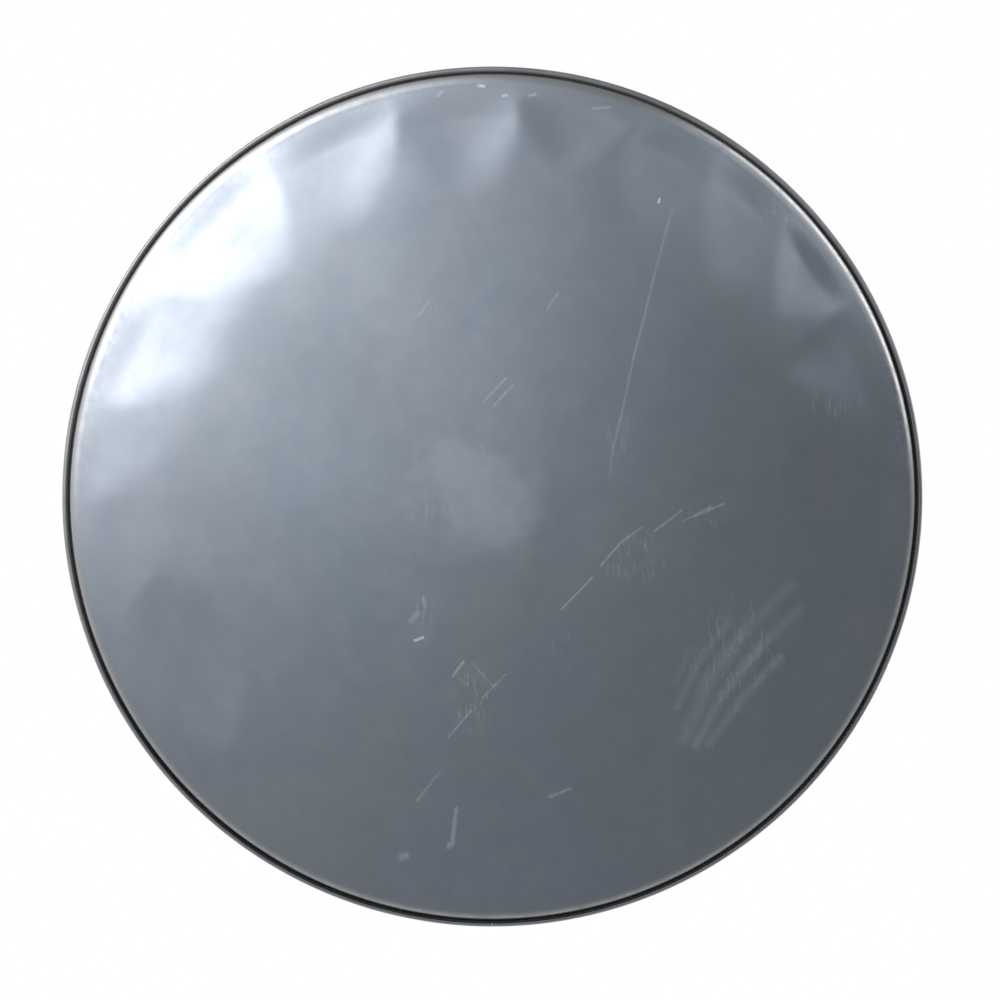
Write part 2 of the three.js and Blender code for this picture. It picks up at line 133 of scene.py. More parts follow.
def fillet(points, closed=True, steps=4):
    """Corners (u, v, radius) as a polyline, each corner with a radius turned into an arc."""
    corners = [np.array(p[:2], float) for p in points]
    radii = [p[2] if len(p) > 2 else 0.0 for p in points]
    count = len(corners)
    out = []
    for i, corner in enumerate(corners):
        if radii[i] <= 0 or (not closed and i in (0, count - 1)):
            out.append(corner)
            continue
        before, after = corners[i - 1] - corner, corners[(i + 1) % count] - corner
        len_before, len_after = np.linalg.norm(before), np.linalg.norm(after)
        before, after = before / len_before, after / len_after
        angle = math.acos(max(-1, min(1, float(before @ after))))
        if angle > math.pi - 1e-3:
            out.append(corner)
            continue
        cut = min(radii[i] / math.tan(angle / 2), 0.48 * len_before, 0.48 * len_after)
        r = cut * math.tan(angle / 2)
        bisector = (before + after) / np.linalg.norm(before + after)
        centre = corner + bisector * (r / math.sin(angle / 2))
        first, last = corner + before * cut - centre, corner + after * cut - centre
        start = math.atan2(first[1], first[0])
        turn = (math.atan2(last[1], last[0]) - start + math.pi) % (2 * math.pi) - math.pi
        for k in range(steps + 1):
            q = start + turn * k / steps
            out.append(centre + r * np.array([math.cos(q), math.sin(q)]))
    return out


def angles(seg):
    return np.arange(seg) / seg * 2 * math.pi


def is_point(radius):
    return np.max(np.abs(radius)) < 1e-9


def grid_solid(rows, seg, axis, at=ORIGIN):
    """Closed solid from rows of (radius, height) round an axis; both may vary with the angle.
    Rows that start and end at radius 0 close at a point; otherwise they close on themselves."""
    th = angles(seg)
    verts, index = [], []
    count = 0
    for r, h in rows:
        r = np.broadcast_to(np.asarray(r, float), (seg,))
        h = np.broadcast_to(np.asarray(h, float), (seg,))
        if is_point(r):
            points = place(0.0, 0.0, float(h[0]), axis, at)[None]
        else:
            points = place(r * np.cos(th), r * np.sin(th), h, axis, at)
        verts.append(points)
        index.append(range(count, count + len(points)))
        count += len(points)
    pairs = list(zip(index[:-1], index[1:]))
    if not (is_point(rows[0][0]) and is_point(rows[-1][0])):
        pairs.append((index[-1], index[0]))
    faces = []
    for a, b in pairs:
        for j in range(seg):
            k = (j + 1) % seg
            if len(a) == 1:
                faces.append((a[0], b[j], b[k]))
            elif len(b) == 1:
                faces.append((a[j], b[0], a[k]))
            else:
                faces.append((a[j], b[j], b[k], a[k]))
    return new_object(np.concatenate(verts), faces)


def turned(profile, seg=96, axis="y", at=ORIGIN, steps=4):
    """Solid of revolution. Profile points are (radius, height, fillet radius)."""
    closed = profile[0][0] > 0 or profile[-1][0] > 0
    return grid_solid([(p[0], p[1]) for p in fillet(profile, closed, steps)], seg, axis, at)


def prism(outline, low, high, axis, at=ORIGIN):
    flat = np.array([p[:2] for p in outline], float)
    n = len(flat)
    verts = np.concatenate([place(flat[:, 0], flat[:, 1], h, axis, at) for h in (low, high)])
    faces = [tuple(range(n)), tuple(range(2 * n - 1, n - 1, -1))]
    faces += [(i, (i + 1) % n, n + (i + 1) % n, n + i) for i in range(n)]
    return new_object(verts, faces)


def rod(axis, r, low, high, at=ORIGIN, seg=72):
    a = angles(seg)
    return prism(np.stack([r * np.cos(a), r * np.sin(a)], 1), low, high, axis, at)


def rounded_rect(half_w, half_h, r, steps):
    signs = ((1, 1), (-1, 1), (-1, -1), (1, -1))
    return fillet([(su * half_w, sv * half_h, r) for su, sv in signs], True, steps)


def tab(radius, length, count=36):
    """Half circle about (0, 0), with straight sides that run to v = length, of either sign."""
    s = 1 if length > 0 else -1
    sweep = np.linspace(0, math.pi, count)
    arc = [(radius * math.cos(q), -s * radius * math.sin(q)) for q in sweep]
    return [(radius, length)] + arc + [(-radius, length)]


def corner_places(x, z):
    """The four corners of a rectangle about the mirror's axis."""
    return [(sx * x, 0, sz * z) for sx in (-1, 1) for sz in (-1, 1)]


def add_modifier(ob, kind, **settings):
    modifier = ob.modifiers.new("step", kind)
    for key, value in settings.items():
        setattr(modifier, key, value)


def apply_modifiers(ob):
    graph = bpy.context.evaluated_depsgraph_get()
    graph.update()
    mesh = bpy.data.meshes.new_from_object(ob.evaluated_get(graph))
    old = ob.data
    ob.modifiers.clear()
    ob.data = mesh
    bpy.data.meshes.remove(old)


def boolean(ob, operation, *others):
    """Join, cut or intersect with the other objects in turn, and delete them."""
    for other in others:
        add_modifier(ob, "BOOLEAN", operation=operation, solver="EXACT", object=other)
        apply_modifiers(ob)
        bpy.data.objects.remove(other)


def finish_piece(ob, node, body, slot, bevel=0.0, segments=3, sharp=38, weighted=True,
                 added=False):
    """Bevel and shade a piece, then name it, give it its material and attach it to its body.
    It replaces the CAD node of its name, unless it is added to the CAD pieces."""
    if bevel:
        with editing(ob.data) as bm:
            bmesh.ops.remove_doubles(bm, verts=bm.verts, dist=2e-6)
            bmesh.ops.dissolve_limit(bm, angle_limit=math.radians(0.4), verts=bm.verts,
                                     edges=bm.edges, delimit={"NORMAL"})
        add_modifier(ob, "BEVEL", width=bevel * MM, segments=segments, limit_method="ANGLE",
                     angle_limit=math.radians(28), miter_outer="MITER_ARC",
                     use_clamp_overlap=True)
        apply_modifiers(ob)
    with editing(ob.data) as bm:
        bmesh.ops.remove_doubles(bm, verts=bm.verts, dist=1e-6)
    mesh = ob.data
    mesh.polygons.foreach_set("use_smooth", [True] * len(mesh.polygons))
    mesh.set_sharp_from_angle(angle=math.radians(sharp))
    mesh.update()
    if weighted:
        add_modifier(ob, "WEIGHTED_NORMAL", keep_sharp=True, weight=60)
        apply_modifiers(ob)
    ob.name = ob.data.name = node if added else node + "_fine"
    ob.data.materials.clear()
    ob.data.materials.append(MATERIALS[slot])
    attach(ob, body)
    if not added:
        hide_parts(node)


def vertices_mm(ob):
    return np.array([v.co for v in ob.data.vertices]) / MM


def set_vertices(ob, metres):
    ob.data.vertices.foreach_set("co", metres.astype(np.float32).ravel())


def weld_bead(node, path, radius, ripple, ripples, body, y_max=None):
    """Rippled round bead along a closed path, cut off flat at y_max metres."""
    seg = 14
    path = np.array(path, float)
    count = len(path)
    tangent = np.roll(path, -1, 0) - np.roll(path, 1, 0)
    tangent /= np.linalg.norm(tangent, axis=1)[:, None]
    out = path - path.mean(0)
    out -= (out * tangent).sum(1)[:, None] * tangent
    out /= np.linalg.norm(out, axis=1)[:, None]
    side = np.cross(tangent, out)
    a = angles(seg)
    verts, faces = [], []
    for i in range(count):
        saw = (i / count * ripples) % 1.0
        r = radius * (1 + ripple * (saw**0.6 - 0.5))
        verts.append(path[i] + np.outer(np.cos(a) * r, out[i]) + np.outer(np.sin(a) * r, side[i]))
        j = (i + 1) % count
        for s in range(seg):
            q = (s + 1) % seg
            faces.append((i * seg + s, i * seg + q, j * seg + q, j * seg + s))
    ob = new_object(np.concatenate(verts), faces)
    if y_max is not None:
        metres = np.array([v.co for v in ob.data.vertices])
        metres[:, 1] = np.minimum(metres[:, 1], y_max)
        set_vertices(ob, metres)
    finish_piece(ob, node, body, "bracket_paint", sharp=60, added=True)


# ---------------------------------------------------------------- fasteners

CHAMFER = math.tan(math.radians(27))  # slope of the chamfer on hex corners
CHAMFER_START = 0.93  # where it starts, as a part of half the width across flats


def hex_radius(th, flats):
    return flats / 2 / np.cos(((th + math.pi / 6) % (math.pi / 3)) - math.pi / 6)


def hex_head_rows(th, flats, bottom, top):
    """Rows of a hex head, from the centre of its top face to its underside."""
    a = flats / 2
    flat_r = CHAMFER_START * a
    corner = hex_radius(th, flats)
    rows = [(0.0, top), (0.50 * a, top), (0.56 * a, top - 0.10), (0.62 * a, top), (flat_r, top)]
    for s in np.linspace(0.0, 1.0, 7)[1:]:
        r = flat_r + s * (corner - flat_r - 0.05)
        rows.append((r, top - CHAMFER * (r - flat_r)))
    side_top = top - CHAMFER * (corner - 0.05 - flat_r)
    return rows + [
        (corner, side_top - 0.14), (corner, 0.5 * (side_top + bottom)), (corner, bottom + 0.45),
        (corner - 0.15, bottom + 0.30), (0.97 * a, bottom + 0.30), (0.96 * a, bottom),
    ]


def thread_rows(th, r, start, end, pitch, hand=1, fade=1.2):
    """Rows of a helical thread between two heights, growing to full depth over fade."""
    length = abs(end - start)
    depth = 0.52 * pitch
    rows = []
    for s in np.linspace(0, 1, max(8, int(length / pitch * 8))):
        h = start + (end - start) * s
        turn = (h / pitch * hand - th / (2 * math.pi)) % 1.0
        groove = np.clip((1 - np.abs(2 * turn - 1) - 0.12) / 0.76, 0, 1)
        run = s * length
        part = min(1.0, run / fade, (length - run) / (0.8 * pitch) + 0.15)
        rows.append((r - depth * groove * part, np.full(len(th), h)))
    return rows


def bolt(node, axis, size, seat, top, tip, thread_from, at, body, seg=72):
    """Hex bolt along an axis: top of the head, its seat, start of the thread and tip."""
    r, flats, pitch = size
    th = angles(seg)
    rows = hex_head_rows(th, flats, seat, top)
    rows += [(r + 0.35, seat), (r, seat - 0.4), (r, thread_from)]
    rows += thread_rows(th, r, thread_from, tip + 0.9, pitch)
    rows += [(r - 0.52 * pitch - 0.05, tip + 0.15), (r - 0.62 * pitch - 0.2, tip)]
    rows += [(0.0, tip + 0.12)]
    finish_piece(grid_solid(rows, seg, axis, at), node, body, "zinc_hardware", sharp=32,
                 weighted=False)


def nut(node, axis, bore, flats, low, high, at, body, collar=None, seg=72):
    """Hex nut, chamfered at both ends. collar is the (radius, end) of a ring on its low side."""
    flat_r = CHAMFER_START * flats / 2
    corner = hex_radius(angles(seg), flats)
    rows = [(bore, low + 0.5), (bore + 0.5, low)]
    if collar:
        r, end = collar
        rows = [(bore, end + 0.5), (bore + 0.4, end), (r - 1.6, end), (r - 0.5, end + 0.25)]
        rows += [(r, end + 0.9), (r, low)]
    rows.append((flat_r, low))
    for s in np.linspace(0, 1, 6)[1:]:
        r = flat_r + s * (corner - flat_r)
        rows.append((r, low + CHAMFER * (r - flat_r)))
    chamfer = CHAMFER * (corner - flat_r)
    rows.append((corner, 0.5 * (low + chamfer + (high - chamfer))))
    for s in np.linspace(1, 0, 6):
        r = flat_r + s * (corner - flat_r)
        rows.append((r, high - CHAMFER * (r - flat_r)))
    rows += [(bore + 0.5, high), (bore, high - 0.5), (bore, 0.5 * (low + high))]
    finish_piece(grid_solid(rows, seg, axis, at), node, body, "zinc_hardware", sharp=32)


def washer(node, axis, r_in, r_out, low, high, at, body, slot="zinc_hardware", seg=72):
    f = min(0.3, (high - low) * 0.3)
    profile = [(r_in, low, f * 0.6), (r_out, low, f), (r_out, high, f), (r_in, high, f * 0.6)]
    finish_piece(turned(profile, seg, axis, at, 3), node, body, slot)


def pin_set(joint, axis, at, outer, body, sides):
    """Bolt through a knuckle joint, with a washer on each outer face."""
    bolt(f"{joint}_bolt", axis, M8, seat=outer + 1.9, top=outer + 7.2, tip=-outer - 17.6,
         thread_from=-outer - 2.6, at=at, body=body)
    for side, ends in zip(sides, ((outer + 0.2, outer + 1.7), (-outer - 1.7, -outer - 0.2))):
        washer(f"{joint}_washer_{side}", axis, 4.4, 8.6, *ends, at, body)


def friction_discs(joint, axis, at, body, sides):
    for side, ends in zip(sides, ((11.2, 12.2), (-12.2, -11.2))):
        washer(f"{joint}_disc_{side}", axis, 4.4, 12.5, *ends, at, body, "nylon_bush")


# Wing nut, with its seat at height 0
WING_HUB = [  # radius, height
    (0.0, 0.0), (7.1, 0.0), (7.6, 0.5), (7.4, 2.0), (6.6, 7.4), (6.2, 8.6), (5.6, 9.0), (0.0, 9.0),
]
WING_OUTLINE = [  # distance from the axis, height, fillet
    (2.5, 1.0), (8.2, 1.3, 2.0), (12.6, 4.4, 4.0), (16.0, 9.2, 3.0), (16.4, 13.2, 1.8),
    (14.2, 14.35, 1.5), (10.6, 12.8, 3.0), (8.2, 8.4, 3.0), (2.5, 6.6),
]


def wing_nut(joint, axis, at):
    """Wing nut growing against the axis. Remeshed and relaxed so the wings flow from the hub."""
    hub = grid_solid(WING_HUB, 64, "z")
    outline = fillet(WING_OUTLINE, True, 5)
    for s in (1, -1):
        boolean(hub, "UNION", prism([(s * u, v) for u, v in outline], -1.45, 1.45, "y"))
    add_modifier(hub, "REMESH", mode="VOXEL", voxel_size=0.30 * MM, use_smooth_shade=True)
    add_modifier(hub, "SMOOTH", factor=0.5, iterations=7)
    apply_modifiers(hub)
    boolean(hub, "DIFFERENCE", rod("z", 4.2, -2, 12, seg=64))
    x, y, z = vertices_mm(hub).T
    z = np.clip(z, 0.0, 14.4)
    points = np.stack((x, -y, -z) if axis == "z" else (-z, -x, y), 1) + np.array(at)
    set_vertices(hub, points * MM)
    hub.data.update()
    finish_piece(hub, f"{joint}_wing_nut", f"{joint}_nut", "zinc_hardware", sharp=50)


# ---------------------------------------------------------------- material helpers


class Graph:
    """Short calls for adding nodes to a node tree. Values may be numbers or sockets."""

    def __init__(self, tree):
        self.tree = tree

    def set(self, socket, value):
        if isinstance(value, bpy.types.NodeSocket):
            self.tree.links.new(value, socket)
        elif socket.type == "RGBA":
            socket.default_value = (*value, 1.0)
        else:
            socket.default_value = value

    def add(self, kind, inputs=(), **settings):
        node = self.tree.nodes.new("ShaderNode" + kind)
        for key, value in settings.items():
            setattr(node, key, value)
        for key, value in dict(inputs).items():
            self.set(node.inputs[key], value)
        return node

    def math(self, operation, a, b=0.0, clamp=False):
        inputs = {0: a, 1: b, 2: 0.0}
        return self.add("Math", inputs, operation=operation, use_clamp=clamp).outputs[0]

    def plus(self, a, b, clamp=False):
        return self.math("ADD", a, b, clamp)

    def minus(self, a, b):
        return self.math("SUBTRACT", a, b)

    def times(self, a, b):
        return self.math("MULTIPLY", a, b)

    def maximum(self, a, b, clamp=False):
        return self.math("MAXIMUM", a, b, clamp)

    def weigh(self, first, second):
        """Sum of two (value, weight) pairs."""
        return self.plus(self.times(*first), self.times(*second))

    def vmath(self, operation, a, b=None, scale=None):
        node = self.add("VectorMath", {0: a}, operation=operation)
        if b is not None:
            self.set(node.inputs[1], b)
        if scale is not None:
            self.set(node.inputs["Scale"], scale)
        return node.outputs["Value" if operation in ("DOT_PRODUCT", "LENGTH") else 0]

    def remap(self, value, span, to=(0.0, 1.0), kind="LINEAR"):
        """Value carried from the span to another range, and held at its ends."""
        inputs = {"Value": value, "From Min": span[0], "From Max": span[1],
                  "To Min": to[0], "To Max": to[1]}
        return self.add("MapRange", inputs, interpolation_type=kind, clamp=True).outputs[0]

    def ease(self, value, span, to=(0.0, 1.0)):
        """As remap, along a smooth step."""
        return self.remap(value, span, to, "SMOOTHSTEP")

    def xyz(self, vector):
        return self.add("SeparateXYZ", {0: vector}).outputs

    def combine(self, x, y, z):
        return self.add("CombineXYZ", {0: x, 1: y, 2: z}).outputs[0]


class Surface(Graph):
    """A material with one principled shader; mm holds object coordinates in millimetres."""

    def __init__(self, name):
        self.material = bpy.data.materials.new(name)
        self.material.use_nodes = True
        super().__init__(self.material.node_tree)
        self.tree.nodes.clear()
        self.output = self.add("OutputMaterial")
        self.shader = self.add("BsdfPrincipled")
        self.set(self.output.inputs["Surface"], self.shader.outputs[0])
        self.mm = self.vmath("SCALE", self.add("TexCoord").outputs["Object"], scale=1000.0)

    def mapped(self, scale, turn=0, offset=ORIGIN):
        """Coordinates turned by degrees about Y, scaled and offset."""
        inputs = {"Vector": self.mm, "Location": offset, "Scale": scale,
                  "Rotation": (0, math.radians(turn), 0)}
        return self.add("Mapping", inputs).outputs[0]

    def noise(self, size, detail=3.0, rough=0.5, vector=None, distortion=0.0):
        """Noise with features of about size mm, from 0 to 1."""
        inputs = {"Scale": 1.0 / size, "Detail": detail, "Roughness": rough,
                  "Distortion": distortion, "Vector": vector or self.mm}
        return self.add("TexNoise", inputs).outputs["Fac"]

    def streaks(self, scale, turn, detail=3.0, rough=0.7, offset=ORIGIN):
        """Noise drawn out into streaks; the features' size is 1 mm over the scale."""
        return self.noise(1.0, detail, rough, self.mapped(scale, turn, offset))

    def voronoi(self, size, vector, feature="F1", output="Color"):
        inputs = {"Scale": 1.0 / size, "Randomness": 1.0, "Vector": vector}
        return self.add("TexVoronoi", inputs, feature=feature).outputs[output]

    def ramp(self, value, stops):
        node = self.add("ValToRGB", {0: value})
        elements = node.color_ramp.elements
        elements.remove(elements[0])
        for i, (position, color) in enumerate(stops):
            element = elements[0] if i == 0 else elements.new(position)
            element.position = position
            element.color = (*color, 1.0)
        return node.outputs[0]

    def mix(self, amount, a, b):
        return self.add("Mix", {0: amount, 6: a, 7: b}, data_type="RGBA").outputs[2]

    def over(self, base, color, mask, strength):
        """Base with a colour laid over it where the mask is."""
        return self.mix(self.times(mask, strength), base, color)

    def edge(self, radius):
        """1 on edges, 0 on faces: how far a normal averaged over a radius leans."""
        near = self.add("Bevel", {"Radius": radius * MM}, samples=4).outputs[0]
        own = self.add("NewGeometry").outputs["Normal"]
        lean = self.vmath("DOT_PRODUCT", near, own)
        return self.ease(self.minus(1.0, lean), (0.03, 0.16))

    def finish(self, color, rough, metal, height=None, depth=0.0, subsurface=0.0):
        """Set the shader. A height of 1 stands for depth mm of relief."""
        values = {"Base Color": color, "Roughness": rough, "Metallic": metal,
                  "Subsurface Weight": subsurface}
        if height is not None:
            relief = {"Strength": 1.0, "Distance": depth * MM, "Height": height}
            values["Normal"] = self.add("Bump", relief).outputs[0]
        for key, value in values.items():
            self.set(self.shader.inputs[key], value)
        return self.material


def segment_group():
    """Distance in mm from a point to the segment from Start to End, and the part along it."""
    group = bpy.data.node_groups.new("segment_distance", "ShaderNodeTree")
    for name in ("Point", "Start", "End"):
        group.interface.new_socket(name, in_out="INPUT", socket_type="NodeSocketVector")
    for name in ("Distance", "Along"):
        group.interface.new_socket(name, in_out="OUTPUT", socket_type="NodeSocketFloat")
    given = group.nodes.new("NodeGroupInput").outputs
    result = group.nodes.new("NodeGroupOutput").inputs
    g = Graph(group)
    offset = g.vmath("SUBTRACT", given["Point"], given["Start"])
    span = g.vmath("SUBTRACT", given["End"], given["Start"])
    dots = {0: g.vmath("DOT_PRODUCT", offset, span), 1: g.vmath("DOT_PRODUCT", span, span)}
    along = g.add("Math", dots, operation="DIVIDE", use_clamp=True).outputs[0]
    nearest = g.vmath("SCALE", span, scale=along)
    g.set(result["Distance"], g.vmath("LENGTH", g.vmath("SUBTRACT", offset, nearest)))
    g.set(result["Along"], along)
    return group


SEGMENT = segment_group()

# ---------------------------------------------------------------- materials

# Scratches and ticks in the mirror: start x, z, end x, z, half width, strength
SCRATCHES = [
    (124.7, 199.3, 111.8, 151.5, 1.1, 0.17), (111.8, 151.5, 105.1, 124.0, 1.1, 0.26),
    (105.1, 124.0, 97.5, 95.3, 1.1, 0.30), (97.5, 95.3, 89.8, 59.0, 1.05, 0.26),
    (89.8, 59.0, 82.8, 31.8, 1.1, 0.27), (82.8, 31.8, 81.1, 13.0, 1.1, 0.18),
    (115.4, 204.0, 116.2, 206.9, 0.75, 1.5), (-53.4, -99.5, -47.8, -97.3, 0.95, 2.0),
    (47.9, -77.8, 69.6, -55.4, 0.85, 0.5), (74.5, -48.0, 89.0, -31.5, 0.8, 0.5),
    (89.0, -31.5, 103.0, -21.5, 0.7, 0.4), (112.0, -24.0, 131.0, -9.5, 0.8, 0.4),
    (139.0, -14.0, 160.0, -5.0, 0.9, 0.4), (131.0, -17.5, 151.0, -7.0, 0.7, 0.32),
    (-5.8, 65.5, 9.8, 82.0, 0.9, 0.42), (1.0, 62.5, 14.5, 77.0, 0.9, 0.38),
    (-30.4, -166.5, -14.5, -148.0, 0.55, 0.6), (-7.0, -139.5, 9.5, -122.5, 0.6, 0.42),
    (-27.0, -124.0, -20.0, -114.0, 1.2, 0.5), (-14.0, -115.0, 0.5, -131.0, 0.7, 0.35),
    (-52.0, -211.0, -37.0, -191.5, 1.2, 0.3), (-27.5, -238.0, -25.0, -216.5, 1.9, 0.42),
    (-30.0, -243.0, -28.0, -240.5, 2.0, 0.5), (-63.0, -250.5, -60.0, -249.5, 2.6, 0.32),
    (40.0, -208.0, 54.0, -202.5, 1.4, 0.35), (-47.5, -70.0, -46.5, -75.5, 1.6, 0.42),
    (-56.0, -86.0, -52.0, -81.0, 2.0, 0.36), (38.0, 129.5, 45.5, 140.5, 1.1, 0.28),
    (-51.0, 125.0, -44.0, 134.0, 1.4, 0.25), (-9.6, 286.2, -6.0, 285.8, 1.3, 1.05),
    (7.4, 279.0, 10.0, 279.3, 1.2, 0.85), (26.0, 279.0, 30.0, 280.0, 1.2, 0.40),
    (-38.0, 279.2, -35.0, 281.8, 1.4, 0.32), (70.0, 270.0, 82.0, 271.0, 1.3, 0.30),
    (133.0, -168.0, 150.0, -128.0, 4.5, 0.15), (150.0, -128.0, 176.0, -92.0, 4.5, 0.17),
    (176.0, -92.0, 206.0, -62.0, 4.0, 0.11), (141.0, -173.0, 160.0, -137.0, 3.2, 0.19),
    (160.0, -137.0, 186.0, -104.0, 3.4, 0.21), (186.0, -104.0, 213.0, -78.0, 3.2, 0.13),
    (150.0, -172.0, 171.0, -143.0, 3.0, 0.15), (171.0, -143.0, 199.0, -112.0, 3.2, 0.17),
    (128.0, -146.0, 142.0, -115.0, 2.6, 0.13), (142.0, -115.0, 164.0, -86.0, 2.8, 0.12),
    (127.0, -128.0, 137.0, -104.0, 2.2, 0.10),
]
WIDE_SCRATCH = 2.1  # half width from which a scratch is broken up coarsely

# Scuffed patches: centre x, z, radii along x and z, strength
SCUFFS = [
    (-12, -140, 22, 34, 0.34), (100, -44, 34, 26, 0.26), (148, -14, 26, 14, 0.24),
    (-46, -10, 26, 16, 0.22), (87, 36, 20, 30, 0.2), (-45, -78, 16, 22, 0.22),
    (168, -108, 52, 56, 0.2), (-150, 62, 40, 24, 0.14), (-44, 130, 16, 14, 0.2),
    (52, -105, 26, 14, 0.18), (236, 60, 40, 22, 0.16), (205, 200, 30, 26, 0.14),
]


def scratch_mask(m, flat):
    broken = m.noise(size=2.6, detail=4.0, rough=0.65, vector=m.mapped(scale=(1, 0.2, 1)))
    broken = m.remap(broken, (0.30, 0.62))
    thin = wide = None
    for x0, z0, x1, z1, width, strength in SCRATCHES:
        ends = {"Point": flat, "Start": (x0, 0, z0), "End": (x1, 0, z1)}
        distance = m.add("Group", node_tree=SEGMENT)
        for key, value in ends.items():
            m.set(distance.inputs[key], value)
        reach = width * (1.4 if width < 2 else 1.8)
        mark = m.ease(distance.outputs["Distance"], (reach, 0.0), to=(0.0, strength * 1.15))
        if width < WIDE_SCRATCH:
            thin = mark if thin is None else m.maximum(thin, mark)
        else:
            wide = mark if wide is None else m.maximum(wide, mark)
    thin = m.times(thin, m.plus(m.times(broken, 0.55), 0.45))
    coarse = m.remap(m.noise(size=11, detail=4.0, rough=0.6), (0.3, 0.65), to=(0.6, 1.0))
    return m.plus(thin, m.times(wide, coarse))


def scuff_mask(m, flat):
    """Crossed, broken hatching inside soft round patches."""
    first = m.streaks(scale=(0.55, 0.2, 0.09), turn=-42, detail=2.0, rough=0.6)
    second = m.streaks((0.5, 0.2, 0.07), turn=38, detail=2.0, rough=0.6, offset=(31, 0, 7))
    hatch = m.maximum(m.remap(first, (0.56, 0.70)), m.times(m.remap(second, (0.58, 0.72)), 0.8))
    patches = None
    for x, z, rx, rz, strength in SCUFFS:
        offset = m.vmath("SUBTRACT", flat, (x, 0, z))
        reach = m.vmath("LENGTH", m.vmath("MULTIPLY", offset, (1 / rx, 0, 1 / rz)))
        patch = m.ease(reach, (1.0, 0.35), to=(0.0, strength))
        patches = patch if patches is None else m.maximum(patches, patch)
    return m.times(hatch, patches)


def hairline_mask(m):
    """Very fine wiping marks in two directions."""
    first = m.streaks(scale=(1.6, 0.3, 0.045), turn=28)
    second = m.streaks(scale=(1.3, 0.3, 0.04), turn=-55, offset=(9, 0, 4))
    hair = m.plus(m.remap(first, (0.66, 0.80)), m.remap(second, (0.68, 0.82)))
    return m.times(hair, m.remap(m.noise(size=70, detail=2.0), (0.45, 0.72)))


def painted_dent_highlight_mask(m, flat, mottle):
    """Painted highlight over the middle dent: a slanting ellipse with a ragged edge."""
    offset = m.vmath("SUBTRACT", flat, (-9.0, 0.0, 3.0))
    squares = []
    for direction, radius in (((0.766, 0.0, -0.643), 60.0), ((0.643, 0.0, 0.766), 34.0)):
        part = m.math("DIVIDE", m.vmath("DOT_PRODUCT", offset, direction), radius)
        squares.append(m.times(part, part))
    ragged = m.times(m.minus(mottle, 0.5), 1.4)
    return m.ease(m.plus(m.plus(*squares), ragged), (1.1, 0.0))


def mirror_steel():
    """Dulled bare steel: cloudy patches, wiping marks, scratches, scuffs, specks by the rim, and a
    painted highlight over the middle dent.
    """
    m = Surface("mirror_steel")
    x, _, z = m.xyz(m.mm)
    flat = m.combine(x, 0.0, z)
    scratch, scuff, hair = scratch_mask(m, flat), scuff_mask(m, flat), hairline_mask(m)
    cloud = m.noise(size=95, rough=0.55, distortion=0.4)
    mottle = m.noise(size=16, detail=4.0, rough=0.6)
    haze = m.noise(size=230, detail=2.0)
    radius = m.vmath("LENGTH", flat)
    speckle = m.remap(m.noise(size=9, detail=4.0, rough=0.7), (0.40, 0.75))
    grime = m.times(m.ease(radius, (268, 292)), speckle)
    turned_edge = m.ease(radius, (286.5, 291.0))
    marks = m.plus(scratch, m.plus(scuff, m.times(hair, 0.16)), clamp=True)

    base = m.mix(m.remap(cloud, (0.30, 0.70)), (0.515, 0.585, 0.650), (0.570, 0.612, 0.648))
    base = m.over(base, (0.560, 0.590, 0.672), m.remap(haze, (0.35, 0.65)), strength=0.5)
    base = m.over(base, (0.455, 0.515, 0.585), m.remap(mottle, (0.47, 0.75)), strength=0.42)
    base = m.over(base, (0.66, 0.70, 0.75), m.remap(mottle, (0.47, 0.22)), strength=0.34)
    # painted highlight: the middle dent is made lighter where it would catch the light from the
    # upper left
    base = m.over(base, (0.70, 0.745, 0.80), painted_dent_highlight_mask(m, flat, mottle), strength=0.66)
    # the turned edge is brighter and less blue
    base = m.mix(turned_edge, base, (0.610, 0.612, 0.612))
    base = m.over(base, (0.36, 0.38, 0.40), grime, strength=0.35)
    base = m.over(base, (0.86, 0.90, 0.94), marks, strength=0.62)

    rough = m.minus(0.190, m.times(turned_edge, 0.055))
    for mask, weight in (
        (m.remap(cloud, (0.3, 0.7)), 0.04),
        (m.remap(mottle, (0.35, 0.75)), 0.035),
        (marks, 0.30),
        (grime, 0.16),
    ):
        rough = m.plus(rough, m.times(mask, weight))
    # a scratch scatters light from the whole room, so it is partly matt
    metal = m.minus(1.0, m.times(marks, 0.34))
    height = m.weigh((m.noise(size=3.2, rough=0.6), 0.35), (m.noise(size=22, detail=2.0), 1.0))
    return m.finish(base, rough, metal, height, depth=0.020)


def rim_steel():
    """Rolled and lightly tarnished steel strip, with drawing lines along its length."""
    m = Surface("rim_steel")
    x, y, z = m.xyz(m.mm)
    radius = m.math("SQRT", m.plus(m.math("POWER", x, 2.0), m.math("POWER", z, 2.0)))
    angle = m.math("ARCTAN2", z, x)
    strip = m.combine(m.times(radius, 3.0), m.times(y, 3.0), m.times(angle, 6.0))
    lines = m.noise(size=1.0, detail=4.0, rough=0.7, vector=strip)
    patch = m.noise(size=26, detail=4.0, rough=0.65)
    spots = m.remap(m.noise(size=3.5, detail=4.0, rough=0.7), (0.60, 0.78))
    base = m.mix(m.remap(patch, (0.32, 0.70)), (0.43, 0.415, 0.400), (0.55, 0.535, 0.515))
    base = m.over(base, (0.32, 0.31, 0.30), m.remap(lines, (0.35, 0.70)), strength=0.35)
    base = m.over(base, (0.19, 0.165, 0.145), spots, strength=0.40)
    rough = m.plus(0.24, m.weigh((m.remap(patch, (0.3, 0.7)), 0.10), (spots, 0.25)))
    height = m.plus(lines, m.times(spots, 0.8))
    return m.finish(base, rough, 1.0, height, depth=0.03)


